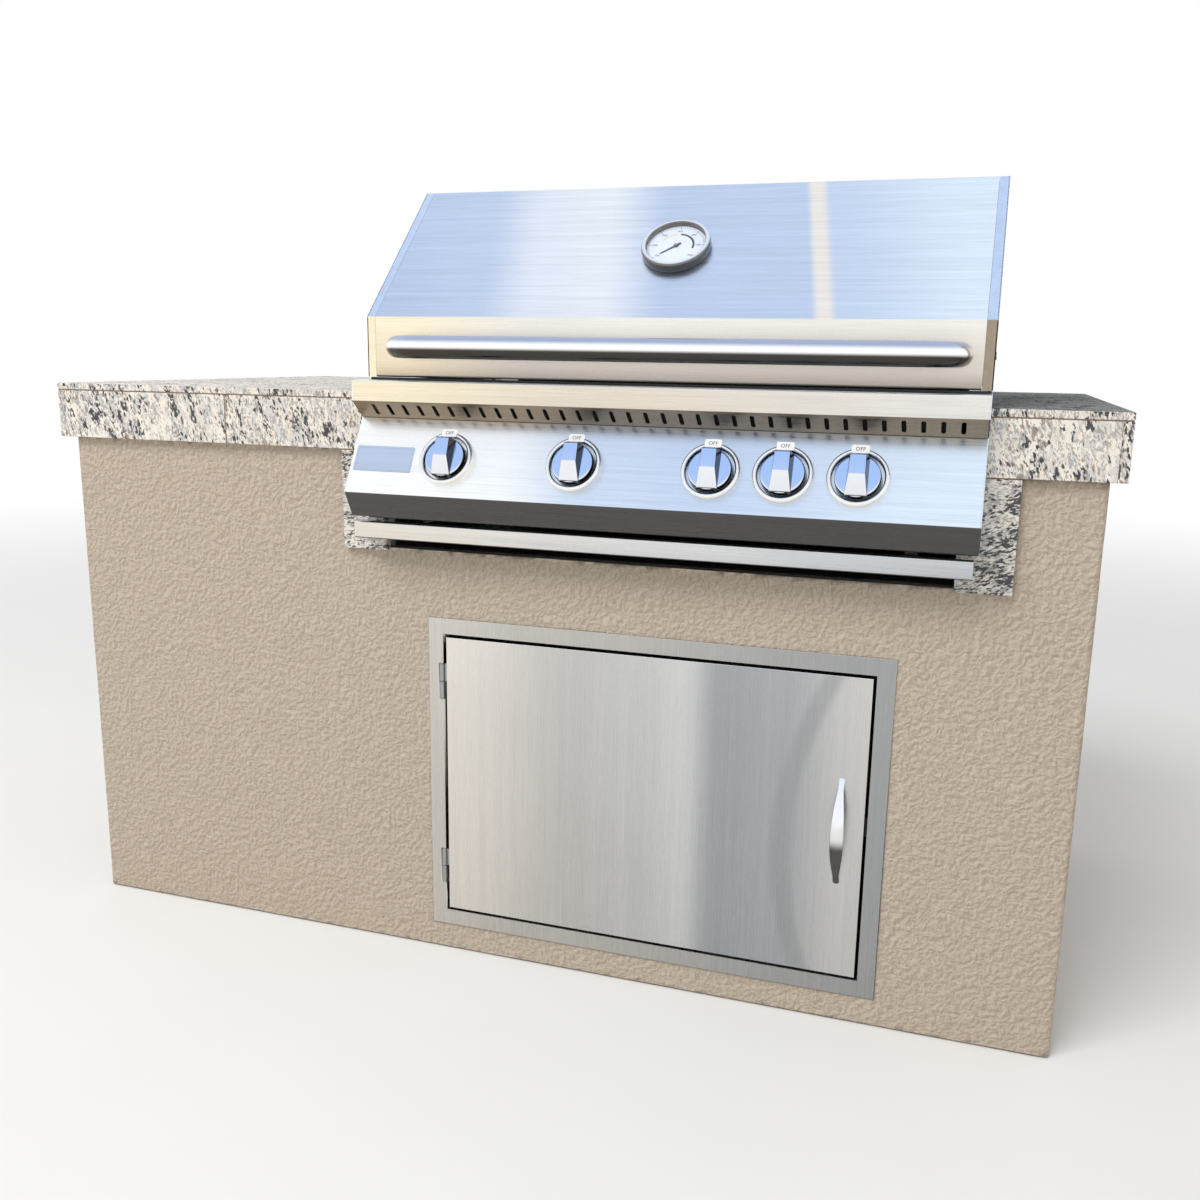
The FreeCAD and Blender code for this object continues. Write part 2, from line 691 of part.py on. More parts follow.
def hinge_bottoms():
    """The lower ends of both hinges."""
    x0, x1, z0, z1 = door_opening()
    return z0 + HINGE_FROM_EDGE, z1 - HINGE_FROM_EDGE - 2 * HINGE_BARREL - HINGE_SIDE_GAP


def door_frame():
    """A flange on the wall with a return into it, notched for the hinges."""
    x0, x1, z0, z1 = door_opening()
    t = DOOR_SHEET
    flange = block(DOOR_LEFT, DOOR_RIGHT, -DOOR_FLANGE, 0, DOOR_FRAME_BOTTOM, DOOR_TOP)
    sleeve = block(x0 - t, x1 + t, -DOOR_FLANGE, DOOR_RETURN_DEPTH, z0 - t, z1 + t)
    clear = block(x0, x1, -DOOR_FLANGE - 1, DOOR_RETURN_DEPTH + 1, z0, z1)
    frame = flange.fuse(sleeve).cut(clear)
    x = hinge_axis_x()
    reach = HINGE_RADIUS + HINGE_SIDE_GAP
    length = 2 * HINGE_BARREL + HINGE_SIDE_GAP
    for z in hinge_bottoms():
        notch = block(x - reach, x0 + 1, -DOOR_FLANGE - 1, HINGE_AXIS_Y + reach,
                      z - HINGE_SIDE_GAP, z + length + HINGE_SIDE_GAP)
        frame = frame.cut(notch)
    return frame.removeSplitter()


def frame_hinges():
    """Lower hinge halves on the frame, each with its pin standing up."""
    x = hinge_axis_x()
    x0 = door_opening()[0] - DOOR_SHEET
    halves = []
    for z in hinge_bottoms():
        top = z + HINGE_BARREL
        barrel = many_sided(HINGE_RADIUS, V(x, HINGE_AXIS_Y, z), V(x, HINGE_AXIS_Y, top))
        pin = rod(HINGE_PIN_RADIUS, V(x, HINGE_AXIS_Y, top - 1),
                   V(x, HINGE_AXIS_Y, top + HINGE_BARREL + HINGE_SIDE_GAP))
        leaf = block(x0 - DOOR_SHEET, x0, HINGE_AXIS_Y, DOOR_RETURN_DEPTH * 0.6, z, top)
        halves.append(fused([barrel, pin, leaf]))
    return group(halves)


def door_hinges():
    """Upper hinge halves, welded to the door's left edge."""
    x = hinge_axis_x()
    edge = door_leaf()[0]
    t = DOOR_SHEET
    halves = []
    for bottom in hinge_bottoms():
        z = bottom + HINGE_BARREL + HINGE_SIDE_GAP
        top = z + HINGE_BARREL
        barrel = many_sided(HINGE_RADIUS, V(x, HINGE_AXIS_Y, z), V(x, HINGE_AXIS_Y, top))
        strap = block(x, edge, HINGE_AXIS_Y + 1, HINGE_AXIS_Y + 1 + t, z, top)
        leaf = block(edge - t, edge, HINGE_AXIS_Y + 1, DOOR_THICKNESS - DOOR_PROUD - t, z, top)
        bore = rod(HINGE_PIN_RADIUS + HINGE_RUNNING, V(x, HINGE_AXIS_Y, z - 1),
                   V(x, HINGE_AXIS_Y, top + 1))
        halves.append(fused([barrel, strap, leaf]).cut(bore))
    return group(halves)


def door_skin():
    """The door's front sheet with its four folded sides."""
    x0, x1, z0, z1 = door_leaf()
    t = SHEET
    body = block(x0, x1, -DOOR_PROUD, DOOR_THICKNESS - DOOR_PROUD, z0, z1)
    upright = [e for e in body.Edges if abs(e.tangentAt(e.FirstParameter).y) < 0.1
               and abs(e.CenterOfMass.y + DOOR_PROUD) < 1e-6]
    body = body.makeFillet(SHEET * 0.8, upright)
    return body.cut(block(x0 + t, x1 - t, -DOOR_PROUD + t, DOOR_THICKNESS, z0 + t, z1 - t))


def door_liner():
    """The sheet that closes the door's back."""
    x0, x1, z0, z1 = door_leaf()
    t = SHEET
    y1 = DOOR_THICKNESS - DOOR_PROUD
    return block(x0 + t, x1 - t, y1 - t, y1, z0 + t, z1 - t)


def door_pull():
    """A bow pull: a crescent from the side, a lens from the front."""
    x = door_leaf()[1] - PULL_FROM_EDGE
    z_mid = (door_leaf()[2] + door_leaf()[3]) / 2
    half = PULL_LENGTH / 2
    face = -DOOR_PROUD
    crest = face - PULL_RISE

    def side(y, z):
        return V(x - PULL_MID_WIDTH, y, z_mid + z)

    outer = Part.Arc(side(face, -half), side(crest, 0), side(face, half)).toShape()
    inner = Part.Arc(side(face, half - PULL_FOOT), side(crest + PULL_CROWN, 0),
                     side(face, -half + PULL_FOOT)).toShape()
    feet = [Part.LineSegment(side(face, half), side(face, half - PULL_FOOT)).toShape(),
            Part.LineSegment(side(face, -half + PULL_FOOT), side(face, -half)).toShape()]
    crescent = Part.Face(Part.Wire([outer, feet[0], inner, feet[1]]))
    bow = crescent.extrude(V(2 * PULL_MID_WIDTH, 0, 0))
    a, b = PULL_END_WIDTH / 2, PULL_MID_WIDTH / 2
    y = crest - 1

    def front(dx, z):
        return V(x + dx, y, z_mid + z)

    edges = [Part.Arc(front(-a, -half), front(-b, 0), front(-a, half)).toShape(),
             Part.LineSegment(front(-a, half), front(a, half)).toShape(),
             Part.Arc(front(a, half), front(b, 0), front(a, -half)).toShape(),
             Part.LineSegment(front(a, -half), front(-a, -half)).toShape()]
    lens = Part.Face(Part.Wire(edges)).extrude(V(0, PULL_RISE + 2, 0))
    return bow.common(lens)


def door_catch():
    """A magnetic catch on the frame's right return, just behind the door."""
    x1, z_mid = door_opening()[1], (door_opening()[2] + door_opening()[3]) / 2
    y0 = DOOR_THICKNESS - DOOR_PROUD + SEAM
    return block(x1 - CATCH_SIZE, x1, y0, y0 + CATCH_SIZE, z_mid - CATCH_SIZE, z_mid + CATCH_SIZE)


# Grill, fixed parts

def firebox_sides():
    """Side sheets: a sloping foot over the tray, the wall, and a rim on the counter."""
    half = FIREBOX_HALF
    foot = TRAY_HALF - 1
    path = [(foot, FIREBOX_BOTTOM_Z + 1), (half, FIREBOX_SLOPE_Z), (half, COUNTER_HEIGHT),
            (GRILL_HALF, COUNTER_HEIGHT), (GRILL_HALF, LEDGE_TOP_Z),
            (GRILL_HALF - HOOD_BAND - BRACKET, LEDGE_TOP_Z)]
    section = [(GRILL_X + x, z) for x, z in folded(path, SIDE_PLATE)]
    right = prism_y(section, FIREBOX_FRONT_Y + SIDE_PLATE, FIREBOX_BACK_Y)
    return group([right, mirrored(right)])


def firebox_front():
    """Front wall of the firebox with a hole for each burner's mixing tube."""
    half = FIREBOX_HALF - SIDE_PLATE
    y0, y1 = FIREBOX_FRONT_Y, FIREBOX_FRONT_Y + SIDE_PLATE
    wall = block(GRILL_X - half, GRILL_X + half, y0, y1, FIREBOX_BOTTOM_Z, LEDGE_TOP_Z)
    radius = around(BURNER_RADIUS + BURNER_HOLE_GAP)
    holes = [many_sided(radius, V(GRILL_X + x, y0 - 1, BURNER_Z), V(GRILL_X + x, y1 + 1, BURNER_Z))
             for x in BURNER_XS]
    return wall.cut(holes)


def firebox_back():
    """Back wall, folded forward over the rear burner, with a flange on the counter."""
    y = FIREBOX_BACK_Y
    half = FIREBOX_HALF - SIDE_PLATE
    front_top = HOUSING_TOP_Z + SIDE_PLATE * 4
    path = [(y + SIDE_PLATE, FIREBOX_BOTTOM_Z), (y + SIDE_PLATE, HOUSING_TOP_Z),
            (y - HOUSING_DEPTH, front_top), (y - HOUSING_DEPTH, HOUSING_TOP_Z)]
    wall = prism_x(folded(path, SIDE_PLATE), GRILL_X - half, GRILL_X + half)
    flange = block(GRILL_X - GRILL_HALF, GRILL_X + GRILL_HALF, y, y + REAR_FLANGE,
                   COUNTER_HEIGHT, COUNTER_HEIGHT + SIDE_PLATE)
    return fused([wall, flange])


def grate_ledges():
    """Angles along the firebox's front and back for grates, flame tamers and burners."""
    half = FIREBOX_HALF - SIDE_PLATE
    front = FIREBOX_FRONT_Y + SIDE_PLATE
    angles = []
    for z in (GRATE_TOP_Z - 2 * ROD, TAMER_Z):
        section = [(0, z), (0, z - 10), (SIDE_PLATE, z - 10), (SIDE_PLATE, z - SIDE_PLATE),
                   (GRATE_LEDGE, z - SIDE_PLATE), (GRATE_LEDGE, z)]
        angles.append(prism_x([(front + a, b) for a, b in section],
                              GRILL_X - half, GRILL_X + half))
        angles.append(prism_x([(FIREBOX_BACK_Y - a, b) for a, b in section],
                              GRILL_X - half, GRILL_X + half))
    z = BURNER_Z - BURNER_RADIUS
    section = [(0, z), (0, z - 10), (SIDE_PLATE, z - 10), (SIDE_PLATE, z - SIDE_PLATE),
               (2 * GRATE_LEDGE, z - SIDE_PLATE), (2 * GRATE_LEDGE, z)]
    angles.append(prism_x([(FIREBOX_BACK_Y - a, b) for a, b in section],
                          GRILL_X - half, GRILL_X + half))
    return group(angles)


def main_burners():
    """Tube burners under the flame tamers, open to the jets in front and closed at the back."""
    burners = []
    for x in BURNER_XS:
        start = V(GRILL_X + x, FIREBOX_FRONT_Y - 10, BURNER_Z)
        end = V(GRILL_X + x, BURNER_END_Y, BURNER_Z)
        body = many_sided(BURNER_RADIUS, start, end)
        mouth = many_sided(BURNER_RADIUS - SHEET, start, start + V(0, 40, 0))
        burners.append(body.cut(mouth))
    return group(burners)


def flame_tamers():
    """Roof-shaped sheets over the burners."""
    roofs = []
    half = TAMER_WIDTH / 2
    for x in BURNER_XS:
        path = [(x + half, TAMER_Z), (x + half - 8, TAMER_Z), (x, TAMER_Z + TAMER_RISE),
                (x - half + 8, TAMER_Z), (x - half, TAMER_Z)]
        section = [(GRILL_X + a, b) for a, b in folded(path, -SHEET)]
        roofs.append(prism_y(section, FIREBOX_FRONT_Y + 4, FIREBOX_BACK_Y - 2))
    return group(roofs)


def grate_ends(number):
    """The left and right ends of one cooking grate, from the left."""
    width = 2 * (FIREBOX_HALF - SIDE_PLATE - GRATE_GAP) / GRATES
    left = GRILL_X + (number - GRATES / 2) * width + GRATE_GAP
    return left, left + width - 2 * GRATE_GAP


def grate_rod(number, k):
    """The middle of one rod of a cooking grate."""
    left, right = grate_ends(number)
    return left + 0.75 * ROD + k * (right - left - 1.5 * ROD) / (RODS_PER_GRATE - 1)


def cooking_grates():
    """Rod grates side by side, each rod a solid of its own on three cross bars."""
    y0 = FIREBOX_FRONT_Y + SIDE_PLATE + GRATE_GAP
    y1 = FIREBOX_BACK_Y - GRATE_GAP
    z = GRATE_TOP_Z - ROD / 2
    rods = []
    for i in range(GRATES):
        left, right = grate_ends(i)
        for k in range(RODS_PER_GRATE):
            x = grate_rod(i, k)
            rods.append(prism_y([(x + a, z + b) for a, b in hexagon(ROD)], y0, y1))
        for y in (y0 + ROD, (y0 + y1) / 2, y1 - ROD):
            rods.append(block(left, right, y - ROD / 2, y + ROD / 2,
                              GRATE_TOP_Z - 2 * ROD, GRATE_TOP_Z - ROD))
    return group(rods)


def warming_rack():
    """A rod shelf on three cross bars, its four legs on the second rods of the outer grates."""
    y0, y1, half = RACK_FRONT_Y, RACK_BACK_Y, GRILL_X - grate_rod(0, 1)
    pitch = (y1 - y0) / (RACK_RODS - 1)
    bar = RACK_ROD / 2
    rods = [prism_x([(y0 + k * pitch + a, RACK_Z + b) for a, b in hexagon(RACK_ROD)],
                    GRILL_X - half - bar, GRILL_X + half + bar) for k in range(RACK_RODS)]
    z0, z1 = RACK_Z - 3 * bar, RACK_Z - bar
    for x in (-half, 0, half):
        rods.append(block(GRILL_X + x - bar, GRILL_X + x + bar, y0 - bar, y1 + bar, z0, z1))
        if x:
            rods += [block(GRILL_X + x - bar, GRILL_X + x + bar, y - bar, y + bar,
                           GRATE_TOP_Z, z0) for y in (y0, y1)]
    return group(rods)


def rear_burner():
    """A flat burner box on the back wall, with a recessed glowing face."""
    half = REAR_BURNER_WIDTH / 2
    y1 = FIREBOX_BACK_Y
    y0 = y1 - REAR_BURNER_DEPTH
    box = block(GRILL_X - half, GRILL_X + half, y0, y1, REAR_BURNER_BOTTOM, REAR_BURNER_TOP)
    face = block(GRILL_X - half + 8, GRILL_X + half - 8, y0 - 1, y0 + 6,
                 REAR_BURNER_BOTTOM + 8, REAR_BURNER_TOP - 8)
    return box.cut(face)


def front_ledge():
    """One folded sheet: the ledge in front of the hood and the slotted vent panel under it."""
    half = GRILL_HALF - SIDE_PLATE
    path = [(LEDGE_BACK_Y, LEDGE_BOTTOM_Z), (LEDGE_BACK_Y, LEDGE_TOP_Z),
            (LEDGE_FRONT_Y, LEDGE_TOP_Z), (LEDGE_FRONT_Y, LEDGE_BOTTOM_Z), PANEL_TOP]
    sheet = prism_x(folded(path, SHEET), GRILL_X - half, GRILL_X + half)
    back = block(GRILL_X - GRILL_HALF - 1, CUT_LEFT, 0, LEDGE_BACK_Y + 1,
                 LEDGE_BOTTOM_Z - 1, COUNTER_HEIGHT)
    sheet = sheet.cut([back, mirrored(back)])
    run = V(0, PANEL_TOP[0] - LEDGE_FRONT_Y, PANEL_TOP[1] - LEDGE_BOTTOM_Z)
    middle = V(GRILL_X, (PANEL_TOP[0] + LEDGE_FRONT_Y) / 2, (PANEL_TOP[1] + LEDGE_BOTTOM_Z) / 2)
    turn = FreeCAD.Rotation(V(0, 1, 0), run)
    slots = []
    for i in range(SLOT_COUNT):
        slot = Part.makeBox(SLOT_WIDTH, SLOT_LENGTH, 6 * SHEET,
                            V(-SLOT_WIDTH / 2, -SLOT_LENGTH / 2, -3 * SHEET))
        x = (i - (SLOT_COUNT - 1) / 2) * SLOT_PITCH
        slot.Placement = FreeCAD.Placement(middle.add(V(x, 0, 0)), turn)
        slots.append(slot)
    return sheet.cut(slots)


def control_panel():
    """One folded sheet: the knob panel and the dark return under it, with five stem holes."""
    half = GRILL_HALF - SIDE_PLATE
    top = (PANEL_TOP[0] - SEAM * PANEL_DIRECTION[0], PANEL_TOP[1] - SEAM * PANEL_DIRECTION[1])
    path = [(PANEL_BACK_Y, top[1]), top, PANEL_BOTTOM, UNDERSIDE_BOTTOM,
            (PANEL_BACK_Y, UNDERSIDE_BOTTOM[1])]
    sheet = prism_x(folded(path, SHEET), GRILL_X - half, GRILL_X + half)
    hole = rod(STEM_HOLE_RADIUS, V(0, 0, -3 * SHEET), V(0, 0, 3 * SHEET))
    return sheet.cut([on_panel(hole, x, KNOB_DOWN_PANEL) for x in KNOB_XS])


def panel_ends():
    """The plates that close the ends of the ledge and the control panel."""
    points = [(PANEL_BACK_Y, UNDERSIDE_BOTTOM[1]), UNDERSIDE_BOTTOM, PANEL_BOTTOM, PANEL_TOP,
              (LEDGE_FRONT_Y, LEDGE_BOTTOM_Z), (LEDGE_FRONT_Y, LEDGE_TOP_Z),
              (LEDGE_BACK_Y, LEDGE_TOP_Z), (LEDGE_BACK_Y, COUNTER_HEIGHT),
              (PANEL_BACK_Y, COUNTER_HEIGHT)]
    right = prism_x(points, GRILL_X + GRILL_HALF - SIDE_PLATE, GRILL_X + GRILL_HALF)
    return group([right, mirrored(right)])


def nameplate():
    """The bare plate at the left of the control panel."""
    plate = block(0, NAMEPLATE_WIDTH, -NAMEPLATE_HEIGHT, 0, 0, NAMEPLATE_THICKNESS)
    return on_panel(plate, NAMEPLATE_LEFT - GRILL_HALF, NAMEPLATE_TOP)


# Gas train

def manifold_centre():
    """The manifold's axis, as y and z."""
    y = PANEL_TOP[0] - KNOB_DOWN_PANEL * PANEL_DIRECTION[0] + MANIFOLD_DEPTH * PANEL_DIRECTION[1]
    z = PANEL_TOP[1] - KNOB_DOWN_PANEL * PANEL_DIRECTION[1] - MANIFOLD_DEPTH * PANEL_DIRECTION[0]
    return y, z


def gas_manifold():
    """A pipe behind the valves, turned down at the right end into its inlet fitting."""
    y, z = manifold_centre()
    start = V(GRILL_X + MANIFOLD_LEFT, y, z)
    end = V(GRILL_X + INLET_X, y, z)
    pipe = many_sided(MANIFOLD_RADIUS, start, end + V(MANIFOLD_RADIUS, 0, 0))
    drop = many_sided(MANIFOLD_RADIUS, end, end - V(0, 0, INLET_DROP))
    fitting = many_sided(INLET_RADIUS, end - V(0, 0, INLET_DROP),
                         end - V(0, 0, INLET_DROP + INLET_LENGTH))
    bore = many_sided(MANIFOLD_BORE, start + V(5, 0, 0), end)
    throat = many_sided(INLET_RADIUS / 2, end, end - V(0, 0, INLET_DROP + INLET_LENGTH))
    return fused([pipe, drop, fitting]).cut([bore, throat])


def gas_valves():
    """Five valves saddled on the manifold: four feed a burner's mouth, one the rear burner."""
    y, z = manifold_centre()
    pipe = rod(MANIFOLD_RADIUS, V(GRILL_X + MANIFOLD_LEFT - 1, y, z),
                V(GRILL_X + INLET_X + 1, y, z))
    half = VALVE_WIDTH / 2
    bonnet = prism_z(hexagon(2 * BONNET_RADIUS), -VALVE_DEPTH, -BONNET_DEPTH)
    body = block(-half, half, -half, half, -VALVE_END, -VALVE_DEPTH)
    bore = rod(STEM_RADIUS + STEM_RUNNING, V(0, 0, -STEM_END - 2 * PUSH_TRAVEL), V(0, 0, 0))
    valves = []
    for x in KNOB_XS:
        valve = on_panel(fused([bonnet, body]), x, KNOB_DOWN_PANEL)
        if x in BURNER_XS:
            turn = [(GRILL_X + x + a, BURNER_Z + b) for a, b in hexagon(2 * JET_RADIUS)]
            jet = prism_y(turn, JET_Y - JET_RADIUS, FIREBOX_FRONT_Y - JET_CLEARANCE)
            foot = block(GRILL_X + x - JET_RADIUS, GRILL_X + x + JET_RADIUS, JET_Y - JET_RADIUS,
                         JET_Y + JET_RADIUS, BURNER_Z - JET_DROP, BURNER_Z)
            valve = fused([valve, foot, jet])
        valves.append(valve.cut([on_panel(bore, x, KNOB_DOWN_PANEL), pipe]))
    return group(valves)


def knob_bezels():
    """Five flared rings round the knobs."""
    bore = KNOB_RADIUS + BEZEL_GAP
    lip = bore + BEZEL_LIP
    outline = [(lip + BEZEL_FLARE, 0), (lip, BEZEL_HEIGHT), (bore, BEZEL_HEIGHT - 1), (bore, 0)]
    ring = turned(outline)
    return group([on_panel(ring, x, KNOB_DOWN_PANEL) for x in KNOB_XS])


def knob():
    """A skirt with a tapered grip across it, higher at the pointer end."""
    r = KNOB_RADIUS
    skirt = turned([(0, KNOB_BACK), (r, KNOB_BACK), (r - 1, KNOB_SKIRT), (0, KNOB_SKIRT)])
    foot = KNOB_BACK + 2
    side = [(-r + 3, foot), (-r + 3, KNOB_SKIRT), (-r + 3 + GRIP_END, KNOB_LOW),
            (r - 4, KNOB_HIGH), (r - 1, KNOB_HIGH - 3), (r - 1, foot)]
    profile = prism_x(side, -GRIP_HALF_WIDTH, GRIP_HALF_WIDTH)
    low, high = GRIP_HALF_WIDTH, GRIP_HALF_WIDTH - GRIP_TAPER
    taper = prism_y([(-low, 0), (low, 0), (low, KNOB_SKIRT), (high, KNOB_HIGH),
                     (-high, KNOB_HIGH), (-low, KNOB_SKIRT)], -r, r)
    return fused([skirt, profile.common(taper)]).cut(stem())


def stem():
    """The valve stem that the knob sits on."""
    return many_sided(STEM_RADIUS, V(0, 0, -STEM_END), V(0, 0, STEM_TIP))


def thrust_washer():
    """The square spring washer behind the panel: it goes in with the knob but doesn't turn."""
    front = -SHEET - WASHER_GAP
    half = WASHER_WIDTH / 2
    plate = block(-half, half, -half, half, front - WASHER_THICKNESS, front)
    radius = around(STEM_RADIUS + STEM_RUNNING)
    return plate.cut(many_sided(radius, V(0, 0, front - WASHER_THICKNESS), V(0, 0, front)))


# Drip tray

def drip_tray():
    """A sliding pan with side flanges and a wide folded strip at its front."""
    half = TRAY_HALF
    t = SHEET
    z0, z1 = TRAY_TOP_Z - TRAY_DEPTH, TRAY_TOP_Z
    pan = block(GRILL_X - half, GRILL_X + half, TRAY_FRONT_Y, TRAY_BACK_Y, z0, z1)
    pan = pan.cut(block(GRILL_X - half + t, GRILL_X + half - t, TRAY_FRONT_Y + t,
                        TRAY_BACK_Y - t, z0 + t, z1 + 1))
    flange = block(GRILL_X + half, GRILL_X + half + TRAY_FLANGE, FIREBOX_FRONT_Y + 4,
                   TRAY_BACK_Y, z1 - t, z1)
    y = TRAY_FRONT_Y - TRAY_STRIP_DEPTH
    path = [(TRAY_FRONT_Y, TRAY_STRIP_TOP), (y, TRAY_STRIP_TOP), (y, TRAY_STRIP_BOTTOM),
            (TRAY_FRONT_Y, TRAY_STRIP_BOTTOM), (TRAY_FRONT_Y, z1)]
    strip_half = GRILL_HALF - TRAY_STRIP_INSET
    strip = prism_x(folded(path, t), GRILL_X - strip_half, GRILL_X + strip_half)
    return fused([pan, flange, mirrored(flange), strip])


def tray_rails():
    """Angle rails on both sides, between the firebox's front and back walls."""
    half = TRAY_HALF
    z = TRAY_TOP_Z - SHEET - TRAY_CLEARANCE
    outer = half + TRAY_FLANGE + TRAY_CLEARANCE
    section = [(half + TRAY_CLEARANCE, z), (half + TRAY_CLEARANCE, z - SIDE_PLATE),
               (outer + SIDE_PLATE, z - SIDE_PLATE), (outer + SIDE_PLATE, z + 10),
               (outer, z + 10), (outer, z)]
    right = prism_y([(GRILL_X + a, b) for a, b in section],
                    FIREBOX_FRONT_Y + SIDE_PLATE, FIREBOX_BACK_Y)
    return group([right, mirrored(right)])


# Hood

def hood_outline():
    """The hood's outer line in side view, from its front bottom edge to its rear lip."""
    return [(HOOD_FRONT_Y, HOOD_BOTTOM_Z), (HOOD_FRONT_Y, HOOD_CREASE_Z), HOOD_RIDGE,
            (HOOD_TOP_BACK_Y, HOOD_RIDGE[1]), HOOD_REAR]


def gauge_hole(gap):
    """The hole in the hood for the thermometer's stem."""
    radius = GAUGE_STEM_RADIUS + gap
    return on_slope(rod(radius, V(0, 0, -2 * LINING_GAP), V(0, 0, 5)), GAUGE_UP_SLOPE)


def hood_shell():
    """The outer sheet between the end caps, folded in at its bottom edge."""
    half = GRILL_HALF - HOOD_BAND - HOOD_BAND_SEAM
    path = [(HOOD_FRONT_Y + HOOD_RETURN, HOOD_BOTTOM_Z)] + hood_outline()
    shell = prism_x(folded(path, -SHEET), GRILL_X - half, GRILL_X + half)
    return shell.cut(gauge_hole(GAUGE_HOLE_GAP))


def hood_ends():
    """End caps with a flange folded over the sheet's edge, rounded about the hinge pin."""
    outline = hood_outline()
    radius = HOOD_PIVOT[1] - HOOD_BOTTOM_Z
    x0 = GRILL_X + GRILL_HALF - SIDE_PLATE
    x1 = GRILL_X + GRILL_HALF
    rear_low = (HOOD_PIVOT[0] + radius, HOOD_PIVOT[1])
    low = (HOOD_PIVOT[0], HOOD_BOTTOM_Z)
    middle = (HOOD_PIVOT[0] + radius * math.sqrt(0.5), HOOD_PIVOT[1] - radius * math.sqrt(0.5))
    line = [V(x0, y, z) for y, z in [low] + outline + [rear_low]]
    edges = [Part.LineSegment(a, b).toShape() for a, b in zip(line, line[1:])]
    edges.append(Part.Arc(line[-1], V(x0, *middle), line[0]).toShape())
    plate = Part.Face(Part.Wire(edges)).extrude(V(x1 - x0, 0, 0))
    flange = prism_x(folded(outline, -SHEET), x1 - HOOD_BAND, x1)
    pin_hole = rod(HOOD_PIN_RADIUS + HOOD_PIN_RUNNING, V(x0 - 1, *HOOD_PIVOT),
                    V(x1 + 1, *HOOD_PIVOT))
    right = fused([plate, flange]).cut(pin_hole)
    return group([right, mirrored(right)])


def hood_liner():
    """The inner sheet, parallel to the outer one and folded out to meet it."""
    outline = hood_outline()
    inner = beside([(HOOD_FRONT_Y, HOOD_BOTTOM_Z)] + outline[1:], -LINING_GAP)
    bottom = HOOD_BOTTOM_Z + 6
    path = [(HOOD_FRONT_Y + SHEET, bottom), (inner[0][0], bottom)] + inner[1:-1]
    path.append((inner[-1][0] - 6, inner[-1][1] + 5))
    half = GRILL_HALF - SIDE_PLATE
    sheet = prism_x(folded(path, -LINING_SHEET), GRILL_X - half, GRILL_X + half)
    band = prism_x(folded(outline, -SHEET * 2), GRILL_X - GRILL_HALF, GRILL_X + GRILL_HALF)
    return sheet.cut(band).cut(gauge_hole(GAUGE_HOLE_GAP))


def hood_handle():
    """A round bar bent back into the hood's face at both ends."""
    straight = GRILL_HALF - HANDLE_INSET - HANDLE_RADIUS - HANDLE_BEND
    line = [(straight + HANDLE_BEND, HOOD_FRONT_Y, math.pi / 2)]
    for k in range(HANDLE_BEND_STEPS, -1, -1):
        a = math.pi / 2 * k / HANDLE_BEND_STEPS
        line.append((straight + HANDLE_BEND * math.sin(a),
                     HANDLE_Y + HANDLE_BEND * (1 - math.cos(a)), a))
    line += [(-x, y, -a) for x, y, a in reversed(line)]
    return skinned([ring(V(GRILL_X + x, y, HANDLE_Z), V(math.sin(a), -math.cos(a), 0), V(0, 0, 1),
                         HANDLE_RADIUS, BAR_FLATS) for x, y, a in line])


def hood_hinges():
    """Fixed brackets on the firebox rim with the pins that the hood turns on."""
    y, z = HOOD_PIVOT
    x1 = GRILL_X + GRILL_HALF - SIDE_PLATE - BRACKET / 2
    x0 = x1 - BRACKET
    points = [(y - 30, LEDGE_TOP_Z), (y + 30, LEDGE_TOP_Z), (y + 12, z + 14), (y - 12, z + 14)]
    bracket = prism_x(points, x0, x1)
    pin = rod(HOOD_PIN_RADIUS, V(x0, y, z), V(GRILL_X + GRILL_HALF + 0.5, y, z))
    head = many_sided(HOOD_PIN_HEAD, V(GRILL_X + GRILL_HALF + 0.5, y, z),
                      V(GRILL_X + GRILL_HALF + 3.5, y, z))
    right = fused([bracket, pin, head])
    return group([right, mirrored(right)])


# Thermometer

def gauge_seat():
    """The height of the dial's face above the hood."""
    return GAUGE_HEIGHT - GAUGE_DIAL_DEPTH


def thermometer_case():
    """A polished cup on the hood, its rim round the dial, with a stem into the cooking space."""
    r, h = GAUGE_RADIUS, GAUGE_HEIGHT
    bore = r - GAUGE_RIM
    seat = gauge_seat() - GAUGE_PLATE
    cup = turned([(0, 0), (r, 0), (r, h - GAUGE_BEVEL), (r - GAUGE_BEVEL, h), (bore, h - 1),
                  (bore, seat), (0, seat)])
    probe = many_sided(GAUGE_STEM_RADIUS, V(0, 0, -GAUGE_STEM_LENGTH), V(0, 0, seat / 2))
    return on_slope(fused([cup, probe]), GAUGE_UP_SLOPE)


def thermometer_dial():
    """The dial plate with the needle's pin."""
    z = gauge_seat()
    plate = many_sided(GAUGE_RADIUS - GAUGE_RIM, V(0, 0, z - GAUGE_PLATE), V(0, 0, z), TURNED_FLATS)
    pin = many_sided(NEEDLE_PIN_RADIUS, V(0, 0, z - GAUGE_PLATE / 2), V(0, 0, z + NEEDLE_PIN_HEIGHT))
    return on_slope(fused([plate, pin]), GAUGE_UP_SLOPE)


